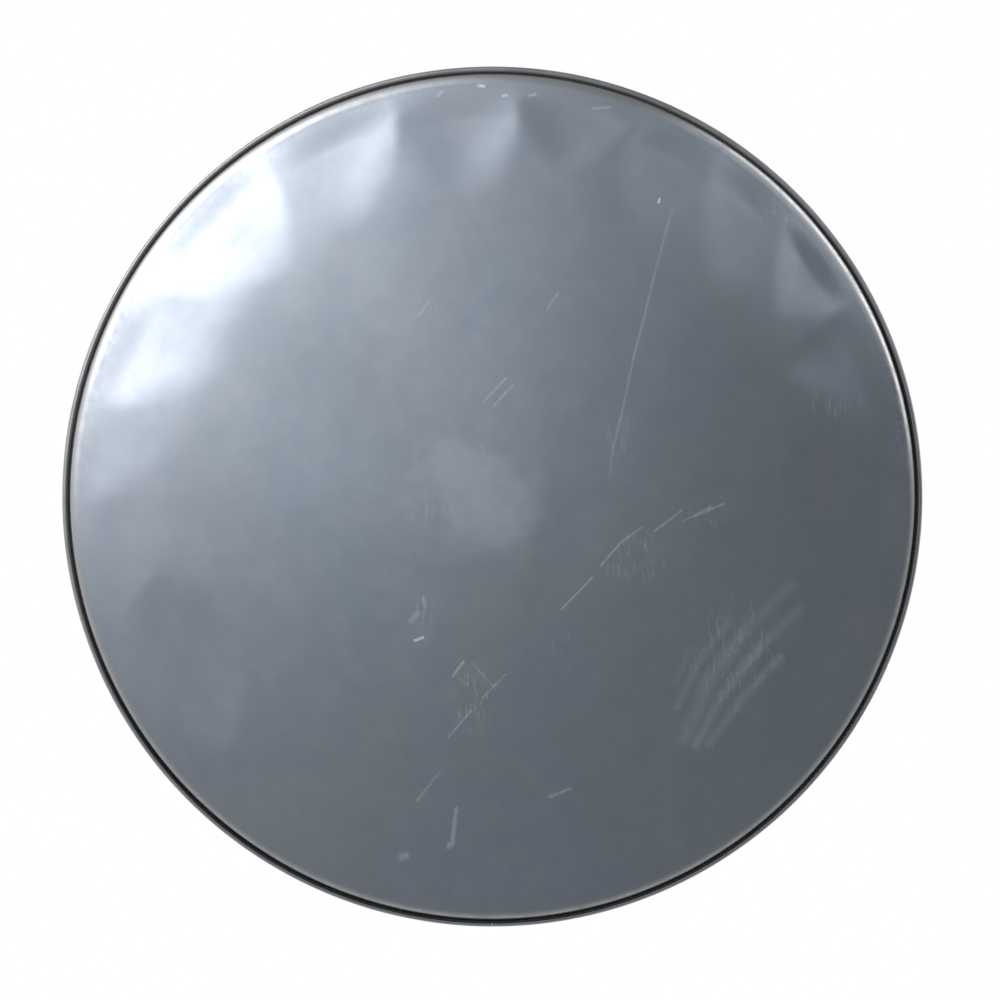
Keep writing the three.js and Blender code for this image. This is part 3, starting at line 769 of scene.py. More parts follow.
def galvanised():
    """Galvanised sheet: crystals of different tone, white bloom and handling scratches."""
    m = Surface("pan_galvanised")
    wander = m.combine(m.noise(size=12), m.noise(size=12.5), m.noise(size=13))
    warp = m.vmath("ADD", m.mm, m.vmath("SCALE", wander, scale=10.0))
    coarse = m.xyz(m.voronoi(size=13, vector=warp))[0]
    fine = m.xyz(m.voronoi(size=6, vector=warp))[1]
    tone = m.weigh((coarse, 0.7), (fine, 0.3))
    bloom = m.remap(m.noise(size=48, detail=5.0, rough=0.7), (0.52, 0.80))
    scratch = m.remap(m.streaks(scale=(1.1, 0.3, 0.03), turn=33), (0.67, 0.80))
    scratch = m.times(scratch, m.remap(m.noise(size=60, detail=2.0), (0.45, 0.7)))
    base = m.ramp(tone, [
        (0.1, (0.33, 0.345, 0.36)), (0.5, (0.44, 0.455, 0.465)), (0.95, (0.58, 0.59, 0.60)),
    ])
    base = m.over(base, (0.66, 0.665, 0.66), bloom, strength=0.45)
    base = m.over(base, (0.78, 0.79, 0.80), scratch, strength=0.5)
    rough = m.plus(m.remap(tone, (0.0, 1.0), to=(0.34, 0.50)), m.times(bloom, 0.22))
    metal = m.minus(0.95, m.times(bloom, 0.45))
    border = m.voronoi(size=13, vector=warp, feature="DISTANCE_TO_EDGE", output="Distance")
    height = m.plus(m.remap(border, (0.0, 0.04)), m.times(fine, 0.5))
    height = m.plus(height, m.times(m.noise(size=1.6, detail=2.0), 0.5))
    return m.finish(base, rough, metal, height, depth=0.05)


def powder_coat():
    """Dark grey powder coat: orange peel, dust, and bare metal on rubbed edges."""
    m = Surface("bracket_paint")
    peel = m.plus(m.noise(size=1.5), m.times(m.noise(size=5.0, detail=2.0), 0.9))
    dust = m.remap(m.noise(size=18, detail=5.0, rough=0.7), (0.50, 0.80))
    patchy = m.remap(m.noise(size=2.4, detail=4.0, rough=0.75), (0.44, 0.60))
    edge = m.times(m.edge(radius=0.9), patchy)
    chips = m.times(m.remap(m.noise(size=5.5, detail=5.0, rough=0.8), (0.70, 0.74)), 0.8)
    worn = m.maximum(edge, chips, clamp=True)
    base = m.mix(m.noise(size=30), (0.047, 0.050, 0.054), (0.062, 0.065, 0.070))
    base = m.over(base, (0.24, 0.235, 0.22), dust, strength=0.16)
    base = m.mix(worn, base, (0.42, 0.42, 0.425))
    rough = m.minus(m.plus(0.40, m.times(dust, 0.20)), m.times(worn, 0.06))
    height = m.minus(peel, m.times(worn, 1.2))
    return m.finish(base, rough, m.times(worn, 0.9), height, depth=0.020)


def plated_tube():
    """Bright plated tube with faint drawing lines, slide marks along it and smears."""
    m = Surface("plated_tube")
    x, y, z = m.xyz(m.mm)
    angle = m.math("ARCTAN2", z, x)
    lengthwise = m.combine(m.times(angle, 26.0), m.times(y, 0.02), 0.0)
    slide = m.noise(size=1.0, rough=0.7, vector=lengthwise)
    around = m.combine(m.times(y, 1.4), m.times(angle, 0.4), 0.0)
    rings = m.noise(size=1.0, detail=2.0, rough=0.6, vector=around)
    smear = m.remap(m.noise(size=14, detail=4.0, rough=0.65), (0.45, 0.75))
    marks = m.remap(slide, (0.60, 0.78))
    base = m.over((0.66, 0.67, 0.685), (0.44, 0.445, 0.45), marks, strength=0.5)
    base = m.over(base, (0.50, 0.49, 0.47), smear, strength=0.16)
    rough = m.plus(0.11, m.weigh((marks, 0.22), (smear, 0.13)))
    height = m.weigh((marks, -0.6), (rings, 0.4))
    return m.finish(base, rough, 1.0, height, depth=0.012)


def zinc():
    """Zinc plate: faint blue and straw tints, dull patches, dark in the thread roots."""
    m = Surface("zinc_hardware")
    tint = m.noise(size=7, detail=4.0, rough=0.6)
    patch = m.remap(m.noise(size=2.2, detail=4.0, rough=0.7), (0.42, 0.70))
    root = m.ease(m.add("NewGeometry").outputs["Pointiness"], (0.50, 0.42))
    base = m.ramp(tint, [
        (0.30, (0.50, 0.52, 0.56)), (0.52, (0.60, 0.60, 0.59)), (0.72, (0.63, 0.59, 0.48)),
    ])
    base = m.over(base, (0.10, 0.09, 0.08), root, strength=0.65)
    base = m.over(base, (0.36, 0.35, 0.33), patch, strength=0.22)
    rough = m.plus(0.24, m.weigh((patch, 0.18), (root, 0.3)))
    metal = m.minus(0.98, m.times(root, 0.4))
    return m.finish(base, rough, metal, m.noise(size=0.7), depth=0.02)


def rubber():
    """Black rubber with dust, and painted light that greys it towards the upper left."""
    m = Surface("rubber_seal")
    dust = m.remap(m.noise(size=7, detail=5.0, rough=0.75), (0.48, 0.80))
    x, _, z = m.xyz(m.mm)
    # painted light: the rubber is made lighter grey towards the upper left, where the light falls
    # on it
    grey = m.ease(m.minus(m.times(z, 0.9), m.times(x, 0.45)), (-60, 290))
    base = m.over((0.012, 0.012, 0.013), (0.085, 0.080, 0.074), dust, strength=0.40)
    base = m.over(base, (0.20, 0.195, 0.188), grey, strength=0.9)
    rough = m.remap(dust, (0, 1), to=(0.62, 0.9))
    height = m.plus(m.noise(size=0.8, rough=0.7), m.times(m.noise(size=6, detail=2.0), 0.8))
    return m.finish(base, rough, 0.0, height, depth=0.06)


def nylon():
    """Off-white nylon, blotched and worn grey in places."""
    m = Surface("nylon_bush")
    blotch = m.noise(size=6, detail=4.0, rough=0.6)
    wear = m.remap(m.noise(size=1.6, detail=4.0, rough=0.7), (0.58, 0.78))
    base = m.mix(m.remap(blotch, (0.3, 0.7)), (0.70, 0.68, 0.615), (0.62, 0.59, 0.50))
    base = m.over(base, (0.33, 0.31, 0.27), wear, strength=0.3)
    rough = m.remap(blotch, (0.3, 0.7), to=(0.42, 0.55))
    return m.finish(base, rough, 0.0, m.noise(size=0.9), depth=0.025, subsurface=0.08)


def knob_plastic():
    """Black plastic: fine pebble, scuffed edges and pale dust."""
    m = Surface("knob_plastic")
    patchy = m.remap(m.noise(size=2.0, detail=4.0, rough=0.7), (0.40, 0.65))
    scuff = m.times(m.edge(radius=0.6), patchy)
    dust = m.remap(m.noise(size=5, detail=5.0, rough=0.75), (0.52, 0.80))
    base = m.over((0.014, 0.014, 0.015), (0.075, 0.075, 0.078), scuff, strength=0.55)
    base = m.over(base, (0.16, 0.155, 0.145), dust, strength=0.22)
    rough = m.plus(0.30, m.weigh((dust, 0.28), (scuff, -0.08)))
    return m.finish(base, rough, 0.0, m.noise(size=0.55, rough=0.6), depth=0.03)


MATERIALS = {
    "mirror_steel": mirror_steel(),
    "rim_steel": rim_steel(),
    "pan_galvanised": galvanised(),
    "bracket_paint": powder_coat(),
    "plated_tube": plated_tube(),
    "zinc_hardware": zinc(),
    "rubber_seal": rubber(),
    "nylon_bush": nylon(),
    "knob_plastic": knob_plastic(),
}

# ---------------------------------------------------------------- mirror face

# Where the dome's sphere ends, as a radius and a distance forward of the rim plane
DOME_EDGE_R, DOME_EDGE_F = 288.9, 6.6
FLANGE_R = 297.2
DOME_RISE = DOME_TOP - DOME_EDGE_F
SPHERE_R = (DOME_EDGE_R**2 + DOME_RISE**2) / (2 * DOME_RISE)
SPHERE_F = DOME_TOP - SPHERE_R  # the sphere's centre

# Flutes pressed into the edge, each running on to the next: the ridge it starts at, in degrees
# from +X towards +Z, how far that ridge leans over on its way inwards in degrees, the depth, the
# skew (not 1: one wall is steeper), and the radii where the floor starts, is deepest, begins to
# come back and has come back.
FLUTES = [
    (4.4, 11.4, 1.26, 2.12, 209, 266, 266, 293), (28.6, -1.3, 1.65, 1.01, 232, 270, 270, 286),
    (43.1, -6.2, 1.35, 0.90, 200, 258, 268, 292), (56.1, -2.3, 1.5, 0.99, 205, 255, 264, 293),
    (68.8, 2.9, 2.23, 1.00, 226, 265, 270, 283), (86.3, -1.4, 2.32, 0.83, 202, 252, 261, 293),
    (103.9, 2.7, 1.80, 1.03, 204, 258, 264, 293), (124.2, 1.5, 1.15, 0.70, 208, 251, 269, 293),
    (148.6, -4.3, 1.07, 0.96, 200, 259, 264, 293), (166.7, -2.7, 0.38, 0.92, 224, 267, 273, 293),
    (180.5, -2.1, 0.41, 0.74, 200, 258, 259, 293), (198.7, -7.6, 2.38, 1.13, 200, 226, 245, 276),
    (223.0, 0.0, 0.40, 1.00, 210, 246, 252, 284), (243.0, 2.0, 0.50, 1.00, 212, 248, 254, 284),
    (262.0, 0.0, 0.35, 1.00, 212, 246, 252, 284), (282.0, 0.0, 0.40, 1.00, 210, 246, 252, 284),
    (301.0, 0.0, 0.40, 1.00, 210, 246, 252, 284), (320.0, 2.0, 0.70, 0.90, 214, 248, 254, 284),
    (338.0, 0.0, 0.80, 0.90, 216, 248, 252, 282), (346.9, -5.5, 2.13, 1.49, 200, 242, 267, 293),
]

# Small round dents: centre x, z, radius, depth
DINGS = [
    (60, -20, 34, 0.10), (-120, 60, 60, 0.18), (150, -100, 70, 0.20), (190, 120, 46, 0.22),
    (-60, -180, 60, 0.16), (120, 190, 40, 0.2), (-170, -120, 50, 0.15), (30, 130, 50, 0.12),
]


def smooth(t):
    t = np.clip(t, 0, 1)
    return t * t * (3 - 2 * t)


def wave(x, z, seed, size):
    """A smooth random surface of about unit height: a fixed sum of plane waves."""
    count = 9
    rng = np.random.RandomState(seed)
    total = np.zeros_like(x)
    for _ in range(count):
        heading_angle = rng.uniform(0, 2 * math.pi)
        phase = rng.uniform(0, 2 * math.pi)
        rate = rng.uniform(0.6, 1.5)
        across = x * math.cos(heading_angle) + z * math.sin(heading_angle)
        total += np.sin(2 * math.pi * rate / size * across + phase)
    return total / math.sqrt(count / 2)


def flute_depth(r, degrees):
    total = np.zeros_like(r)
    inwards = np.clip((276 - r) / 51, 0, 1.3)
    for i, (ridge, lean, depth, skew, start, deep, back, end) in enumerate(FLUTES):
        next_ridge, next_lean = FLUTES[(i + 1) % len(FLUTES)][:2]
        first, last = ridge + lean * inwards, next_ridge + next_lean * inwards
        t = ((degrees - first) % 360) / ((last - first) % 360)
        inside = t <= 1
        t = np.clip(t, 0, 1)
        section = np.sin(math.pi * t / (t + skew * (1 - t)))
        lip = 24 * (1 - section)
        rise = smooth((r - start - lip) / (deep - start))
        fall = 1 - smooth((r - back) / (end - back))
        total += np.where(inside, depth * section**0.9 * rise * fall, 0)
    return total


def middle_dent(x, z):
    """Long dent: a slow slope from the upper left, then up to a curved lip past the centre."""
    c, s = math.cos(math.radians(-40)), math.sin(math.radians(-40))
    u, v = (x + 5) * c + z * s, -(x + 5) * s + z * c
    along = u + np.minimum(v * v / 95, 40)
    floor_part = smooth((along + 215) / 150) * (1 - np.clip((along + 70) / 107, 0, 1) ** 2.2)
    return 3.2 * floor_part * np.exp(-((v / 44) ** 2)) * (along < 37)


def dents(x, z):
    """Depth, positive inwards, of every dent in the face."""
    r = np.hypot(x, z)
    depth = flute_depth(r, np.degrees(np.arctan2(z, x)) % 360)
    depth += middle_dent(x, z)
    for ding_x, ding_z, radius, ding_depth in DINGS:
        q = np.hypot(x - ding_x, z - ding_z) / radius
        depth += ding_depth * np.exp(-2.2 * q * q)
    keep = 1 - smooth((r - 262) / 22)  # the slow unevenness dies out towards the edge
    depth += keep * (0.10 * wave(x, z, 4, 150) + 0.045 * wave(x, z, 9, 62))
    return depth


def sphere_rows(radii, sphere_r):
    return [(r, SPHERE_F + math.sqrt(sphere_r**2 - r * r)) for r in radii]


def dome_rows(th):
    """Rows of (radius, forward): the face, its rolled edge, the flange and the inner face."""
    face = [np.linspace(0, 196, 40)[:-1], np.linspace(196, 284, 48)[:-1]]
    face.append(np.linspace(284, 286.6, 3))
    # The edge rolls over to 56 degrees, then turns out into the flange. The roll starts
    # further in at the top than at the bottom.
    lean, steep = math.asin(DOME_EDGE_R / SPHERE_R), math.radians(56)
    end_r, end_f = 295.9, 1.1
    start_r = DOME_EDGE_R - 0.9 - 1.1 * np.sin(th)
    start_f = SPHERE_F + np.sqrt(SPHERE_R**2 - start_r**2)
    roll = []
    for k in range(1, 15):
        t = lean + (steep - lean) * k / 14
        u = (math.sin(t) - math.sin(lean)) / (math.sin(steep) - math.sin(lean))
        v = (math.cos(lean) - math.cos(t)) / (math.cos(lean) - math.cos(steep))
        roll.append((start_r + (end_r - start_r) * u, start_f + (end_f - start_f) * v))
    flange = fillet([
        (end_r - 0.6, end_f + 0.9), (end_r, end_f, 0.2), (FLANGE_R, 1.0, 0.15),
        (FLANGE_R, 0.0, 0.15), (295.0, 0.0, 0.5), (293.95, 1.7),
    ], False, 4)
    under = [
        (start_r - 0.3 + (end_r - start_r - 1.2) * u,
         start_f - 1.05 + (end_f - start_f + 0.40) * (1 - math.sqrt(1 - u * u)))
        for u in (0.97, 0.85, 0.7, 0.5, 0.3, 0.1, 0.0)
    ]
    inner = np.concatenate([np.linspace(284.6, 196, 14), np.linspace(180, 0, 9)])
    rows = sphere_rows(np.concatenate(face), SPHERE_R) + roll + list(flange[2:-1]) + under
    return rows + sphere_rows(inner, SPHERE_R - 1)


def build_dome():
    seg = 432
    th = angles(seg)
    rows = []
    for r, forward in dome_rows(th):
        r = np.broadcast_to(r, (seg,))
        held = np.minimum(r, 288.0)
        depth = dents(held * np.cos(th), held * np.sin(th)) * (1 - smooth((r - 286) / 7))
        rows.append((r, RIM_Y - (forward - depth)))
    finish_piece(grid_solid(rows, seg, "y"), "mirror_dome", "mirror_head", "mirror_steel",
                 sharp=60, weighted=False)


# ---------------------------------------------------------------- rim and back pan

RIVET_R, RIVET_ANGLE = 293, 3.3  # radius and degrees from the bottom of the rim
RIVET_HOLE_R = 1.8
HEAD_BOLT = 34.0  # x and z of the head bolts
DRAIN_X, DRAIN_Z = 62, -236

# Hoop section: radius, forward of the rim plane, fillet
HOOP_SECTION = [
    (296.7, 2.35, 0.12), (296.7, 3.2, 0.12), (297.6, 3.2, 0.5), (298.6, 2.85, 0.9),
    (299.6, 1.9, 0.9), (300.0, 0.4, 1.0), (300.0, -1.6, 1.0), (299.1, -2.9, 0.9),
    (288.5, -2.9, 0.35), (288.5, -1.7, 0.35), (297.8, -1.7, 0.3), (297.8, 2.35, 0.2),
]

# The tables below are (radius, behind the rim plane, fillet)
GASKET_SECTION = [
    (296.0, -1.2, 0.15), (297.3, -1.2, 0.2), (297.3, -2.2, 0.2), (296.6, -2.15, 0.2),
    (296.0, -1.75, 0.2),
]
RIVET_PROFILE = [
    (0, 1.62), (1.5, 1.62, 0.25), (1.5, 4.3, 0.1), (3.1, 4.3, 0.25), (2.7, 5.1, 0.8),
    (1.2, 5.55, 0.8), (0, 5.6),
]
PAN_PROFILE = [
    # rear face, outwards: pad, cone with two beads, turned edge and flange
    (0, 20.3), (71, 20.3, 3.0), (80, 17.4, 4.0), (137, 15.55, 2.5), (141, 14.35, 2.5),
    (150, 14.1, 2.5), (154, 15.0, 2.5), (207, 13.3, 2.5), (211, 12.1, 2.5), (220, 11.85, 2.5),
    (224, 12.75, 2.5), (262, 11.5, 6.0), (276, 9.0, 5.0), (285.5, 1.3, 1.6), (297.0, 1.3, 0.2),
    # front face, back to the centre
    (297.0, 0.3, 0.2), (284.8, 0.3, 2.4), (275.3, 8.1, 5.0), (261.7, 10.5, 6.0),
    (224, 11.75, 2.5), (220, 10.85, 2.5), (211, 11.1, 2.5), (207, 12.3, 2.5), (154, 14.0, 2.5),
    (150, 13.1, 2.5), (141, 13.35, 2.5), (137, 14.55, 2.5), (79.6, 16.4, 4.0),
    (70.6, 19.3, 3.0), (0, 19.3),
]
DISC_PROFILE = [(0, 16.1), (66, 16.1, 0.5), (66, 19.1, 0.5), (0, 19.1)]


def behind_rim(profile):
    return [(r, RIM_Y + back, *rest) for r, back, *rest in profile]


def from_bottom(radius, degrees):
    """X and Z at an angle from the bottom of the rim towards +X."""
    a = math.radians(degrees)
    return radius * math.sin(a), -radius * math.cos(a)


def rivet_places():
    places = [from_bottom(RIVET_R, side * RIVET_ANGLE) for side in (-1, 1)]
    return [(x, 0, z) for x, z in places]


def rivet_holes(low, high):
    return [rod("y", RIVET_HOLE_R, low, high, at, 32) for at in rivet_places()]


def head_bolt_holes(low, high):
    return [rod("y", 3.4, low, high, at, 48) for at in corner_places(HEAD_BOLT, HEAD_BOLT)]


def build_gasket():
    finish_piece(turned(behind_rim(GASKET_SECTION), 288), "edge_gasket", "mirror_head",
                 "rubber_seal")


def build_hoop():
    """Rolled hoop, its ends butted at the bottom. The front lip narrows away from the top."""
    section = fillet(HOOP_SECTION)
    seg, n = 360, len(section)
    half_gap = math.asin(0.06 / 298)
    sweep = 2 * math.pi - 2 * half_gap
    th = -math.pi / 2 + half_gap + np.arange(seg + 1) / seg * sweep
    rng = np.random.RandomState(3)
    wobble = sum(
        rng.uniform(-1, 1) * np.sin(k * th + rng.uniform(0, 6.28)) for k in (7, 11, 17, 23, 31)
    ) / 5
    verts = []
    for j, a in enumerate(th):
        for r, forward in section:
            out = r - 0.08 * (1 + wobble[j]) * (1 if r > 299 else 0.4)
            if forward > 0 and r < 299.8:
                off_top = 0.48 * (1 - math.cos(a - math.radians(100)))
                out += off_top * min(1.0, (299.9 - r) / 3.0) * smooth((forward + 0.2) / 1.5)
            verts.append((out * math.cos(a), RIM_Y - forward, out * math.sin(a)))
    faces = []
    for j in range(seg):
        for k in range(n):
            q = (k + 1) % n
            faces.append((j * n + k, j * n + q, (j + 1) * n + q, (j + 1) * n + k))
    faces += [tuple(range(n)), tuple(range(seg * n, (seg + 1) * n))]
    ob = new_object(verts, faces)
    boolean(ob, "DIFFERENCE", *rivet_holes(RIM_Y - 2, RIM_Y + 6))
    finish_piece(ob, "rim_hoop", "mirror_head", "rim_steel")


def build_hoop_joint():
    """Plate behind the split in the hoop, and its two rivets."""
    arc = [from_bottom(297.0, t) for t in np.linspace(-5.3, 5.3, 24)]
    arc += [from_bottom(289.3, t) for t in np.linspace(5.3, -5.3, 24)]
    plate = prism(arc, RIM_Y + 3.1, RIM_Y + 4.2, "y")
    boolean(plate, "DIFFERENCE", *rivet_holes(RIM_Y, RIM_Y + 8))
    finish_piece(plate, "hoop_joint_plate", "mirror_head", "rim_steel", bevel=0.25, segments=2)
    for side, at in zip(("left", "right"), rivet_places()):
        rivet = turned(behind_rim(RIVET_PROFILE), 48, at=at)
        finish_piece(rivet, f"hoop_rivet_{side}", "mirror_head", "zinc_hardware")


def build_pan():
    """Pressed back pan, with bolt holes and two drain holes near the bottom."""
    ob = turned(behind_rim(PAN_PROFILE), 288)
    drains = [rod("y", 3.0, RIM_Y + 5, RIM_Y + 25, (s * DRAIN_X, 0, DRAIN_Z), 48)
              for s in (-1, 1)]
    boolean(ob, "DIFFERENCE", *head_bolt_holes(RIM_Y + 10, RIM_Y + 30), *drains)
    finish_piece(ob, "back_pan", "mirror_head", "pan_galvanised")


def build_backing_disc():
    disc = turned(behind_rim(DISC_PROFILE), 128)
    boolean(disc, "DIFFERENCE", *head_bolt_holes(RIM_Y + 10, RIM_Y + 30))
    finish_piece(disc, "backing_disc", "mirror_head", "zinc_hardware")


def build_head_bolts():
    places = [(x, 0, z) for z in (HEAD_BOLT, -HEAD_BOLT) for x in (-HEAD_BOLT, HEAD_BOLT)]
    for i, at in enumerate(places, 1):
        common = {"at": at, "body": "mirror_head", "seg": 48}
        bolt(f"head_bolt_{i}", "y", M6, seat=BASE_Y + 1.6, top=BASE_Y + 5.6, tip=RIM_Y + 9.0,
             thread_from=RIM_Y + 20.5, **common)
        washer(f"head_washer_{i}", "y", 3.2, 5.8, BASE_Y + 0.1, BASE_Y + 1.4, **common)
        nut(f"head_nut_{i}", "y", 3.15, M6[1], RIM_Y + 10.9, RIM_Y + 15.9, **common)


# ---------------------------------------------------------------- tilt joint and knuckle

EAR_R = 14
KNUCKLE_R = 13.5


def build_head_bracket():
    """Round base with two ears that stand back to the tilt axis."""
    front = BASE_Y - BASE_T
    base = turned([(0, front), (62, front, 0.8), (62, BASE_Y, 1.2), (0, BASE_Y)], 160)
    foot = BASE_Y - TILT_Y - 2  # from the tilt axis to just inside the base
    flare = [(foot, 17.5), (foot + 5.5, 15.0), (foot + 9.0, EAR_R)]
    sweep = np.linspace(0, math.pi, 40)
    outline = flare + [(EAR_R * math.sin(q), EAR_R * math.cos(q)) for q in sweep]
    outline += [(y, -z) for y, z in reversed(flare)]
    ears = [prism(outline, *sorted((s * GAP_HALF, s * EAR_OUTER)), "x", TILT) for s in (-1, 1)]
    boolean(base, "UNION", *ears)
    boolean(base, "DIFFERENCE", rod("x", PIN_HOLE_R, -30, 30, TILT),
            *head_bolt_holes(BASE_Y - 12, BASE_Y + 5))
    finish_piece(base, "head_bracket", "mirror_head", "bracket_paint", bevel=0.45)


def build_tilt_hardware():
    pin_set("tilt", "x", TILT, EAR_OUTER, "mirror_head", ("right", "left"))
    friction_discs("tilt", "x", TILT, "mirror_head", ("right", "left"))


def build_wing_nuts():
    wing_nut("tilt", "x", (-(EAR_OUTER + 2.0), TILT_Y, 0))
    wing_nut("swivel", "z", (0, SWIVEL_Y, -(FORK_OUTER + 2.0)))


def build_knuckle():
    """Upright tongue on the swivel axis joined by a block to a crosswise tongue on the tilt."""
    gap = TILT_Y - SWIVEL_Y
    ob = prism(tab(KNUCKLE_R, -16.5), -KNUCKLE_HALF, KNUCKLE_HALF, "z", SWIVEL)
    block = prism(rounded_rect(KNUCKLE_R, KNUCKLE_R, 0, 1), SWIVEL_Y - 22, SWIVEL_Y - 16, "y")
    nose_outline = [(v, u) for u, v in tab(KNUCKLE_R, -gap - 21.5)]
    nose = prism(nose_outline, -KNUCKLE_HALF, KNUCKLE_HALF, "x", TILT)
    boolean(ob, "UNION", block, nose)
    boolean(ob, "DIFFERENCE", rod("z", PIN_HOLE_R, -30, 30, SWIVEL),
            rod("x", PIN_HOLE_R, -30, 30, TILT))
    finish_piece(ob, "swivel_knuckle", "knuckle", "bracket_paint", bevel=0.8, segments=4)
    friction_discs("swivel", "z", SWIVEL, "knuckle", ("top", "bottom"))


# ---------------------------------------------------------------- inner arm

INNER_R, INNER_BORE_R = 11, 9.2
PLUG_R = 9  # parts that fit inside the inner tube
FORK_R = 14


def build_fork():
    """Fork round the knuckle, with a plug that goes into the inner tube."""
    front, shoulder, rear = INNER_FRONT - 3.5, INNER_FRONT - 0.3, INNER_FRONT + 24
    ob = turned([
        (0, front), (FORK_R, front, 0.3), (FORK_R, shoulder, 0.6), (PLUG_R, shoulder, 0.1),
        (PLUG_R, rear, 0.8), (0, rear),
    ])
    outline = tab(FORK_R, INNER_FRONT - 2 - SWIVEL_Y)
    head = prism(outline, -FORK_OUTER, FORK_OUTER, "z", SWIVEL)
    gap_outline = [(30, -30), (30, 18), (-30, 18), (-30, -30)]
    boolean(head, "DIFFERENCE", prism(gap_outline, -GAP_HALF, GAP_HALF, "z", SWIVEL))
    boolean(ob, "UNION", head)
    boolean(ob, "DIFFERENCE", rod("z", PIN_HOLE_R, -40, 40, SWIVEL))
    finish_piece(ob, "head_fork", "inner_arm", "bracket_paint", bevel=0.8, segments=4)


def build_inner_tube():
    """The sliding tube, and the glide plugged into its rear end."""
    tube = turned([
        (INNER_BORE_R, INNER_FRONT, 0.3), (INNER_R, INNER_FRONT, 0.5),
        (INNER_R, INNER_REAR, 0.5), (INNER_BORE_R, INNER_REAR, 0.3),
    ], 128)
    finish_piece(tube, "inner_tube", "inner_arm", "plated_tube")
    plug, shoulder, rear = INNER_REAR - 16, INNER_REAR + 0.2, INNER_REAR + 11.5
    glide = turned([
        (0, plug), (PLUG_R, plug, 1.0), (PLUG_R, shoulder, 0.1), (12.7, shoulder, 0.6),
        (12.7, rear, 0.9), (0, rear),
    ])
    finish_piece(glide, "inner_glide", "inner_arm", "nylon_bush")


def build_swivel_pin():
    pin_set("swivel", "z", SWIVEL, FORK_OUTER, "inner_arm", ("top", "bottom"))


# ---------------------------------------------------------------- outer arm

OUTER_R, OUTER_BORE_R = 15, 13
BARREL_R, BARREL_BORE_R, BARREL_HALF = 16, 7.3, 17.6
COLLAR_LENGTH = 24
SCREW_CLEARANCE_R = 4.6

# Pan bush: radius, distance from the barrel's middle, fillet
BUSH_PROFILE = [
    (5.4, 1.5, 0.3), (7.0, 1.5, 0.4), (7.0, 17.9, 0.2), (14, 17.9, 0.4), (14, 19.7, 0.4),
    (5.4, 19.7, 0.4),
]


def build_barrel():
    """Barrel round the pan bolt, and the bushes in its two ends."""
    barrel = turned([
        (BARREL_BORE_R, -BARREL_HALF, 0.4), (BARREL_R, -BARREL_HALF, 0.8),
        (BARREL_R, BARREL_HALF, 0.8), (BARREL_BORE_R, BARREL_HALF, 0.4),
    ], 128, "z", PAN)
    finish_piece(barrel, "arm_barrel", "outer_arm", "bracket_paint")
    for s, side in ((1, "upper"), (-1, "lower")):
        bush = turned([(r, s * h, f) for r, h, f in BUSH_PROFILE], 96, "z", PAN)
        finish_piece(bush, f"pan_bush_{side}", "outer_arm", "nylon_bush")


def build_outer_tube():
    """Outer tube, notched to the barrel at its rear end, with the weld between them."""
    tube = turned([
        (OUTER_BORE_R, OUTER_END, 0.4), (OUTER_R, OUTER_END, 0.6), (OUTER_R, PAN_Y),
        (OUTER_BORE_R, PAN_Y),
    ], 160)
    boolean(tube, "DIFFERENCE", rod("z", 16.3, -40, 40, PAN, 160),
            rod("z", SCREW_CLEARANCE_R, -60, 0, KNOB, 64))
    finish_piece(tube, "outer_tube", "outer_arm", "bracket_paint", bevel=0.2, segments=2)
    t = np.linspace(0, 2 * math.pi, 240, endpoint=False)
    x, z = 15.0 * np.cos(t), 15.0 * np.sin(t)
    path = np.stack([x, PAN_Y - np.sqrt(16.6**2 - x**2) - 0.3, z], 1)
    weld_bead("arm_weld_bead", path, 1.5, ripple=0.28, ripples=46, body="outer_arm")


def build_collar():
    """Collar on the front of the outer tube, with a boss below for the lock screw."""
    front, rear = OUTER_END, OUTER_END + COLLAR_LENGTH
    ob = turned([(8, front), (20, front, 1.2), (20, rear, 1.2), (8, rear)], 160)
    boss = turned([(0, -31), (9, -31, 1.0), (9, -12), (0, -12)], 96, "z", KNOB)
    boolean(ob, "UNION", boss)
    boolean(ob, "DIFFERENCE", rod("y", 15.3, front - 5, rear + 5, seg=160),
            rod("z", 4.3, -60, 0, KNOB, 64))
    finish_piece(ob, "clamp_collar", "outer_arm", "bracket_paint", bevel=0.5)


def build_guide_bush():
    front, shoulder, rear = OUTER_END - 2.6, OUTER_END - 0.2, OUTER_END + 30
    ob = turned([
        (11.3, front, 0.4), (OUTER_R, front, 0.8), (OUTER_R, shoulder, 0.3),
        (12.75, shoulder, 0.1), (12.75, rear, 0.5), (11.3, rear, 0.4),
    ], 128)
    boolean(ob, "DIFFERENCE", rod("z", SCREW_CLEARANCE_R, -60, 0, KNOB, 48))
    finish_piece(ob, "guide_bush", "outer_arm", "nylon_bush")


# ---------------------------------------------------------------- lock knob

KNOB_R = 17.5

# Round rows: radius, height. Lobed rows: part of the knob's radius, flute depth, height.
KNOB_NECK = [
    (4.2, -40.0), (4.2, -34.2), (4.8, -33.5), (8.3, -33.5), (8.9, -34.1), (9.0, -35.0),
    (9.05, -39.0), (9.6, -39.9),
]
KNOB_GRIP = [
    (0.90, 1.4, -40.0), (0.955, 2.0, -40.3), (0.985, 2.4, -41.1), (1.0, 2.4, -42.4),
    (1.0, 2.4, -44), (1.0, 2.4, -47), (1.0, 2.4, -50), (1.0, 2.4, -51.6), (0.985, 2.4, -52.6),
    (0.95, 2.1, -53.4), (0.89, 1.6, -53.9), (0.80, 0.8, -54.0),
]
KNOB_FACE = [
    (11.6, -53.95), (11.0, -53.5), (10.4, -53.35), (7.2, -53.3), (6.6, -53.5), (6.2, -53.9),
    (5.4, -53.95), (4.6, -53.8), (4.2, -53.3), (4.2, -48.0),
]


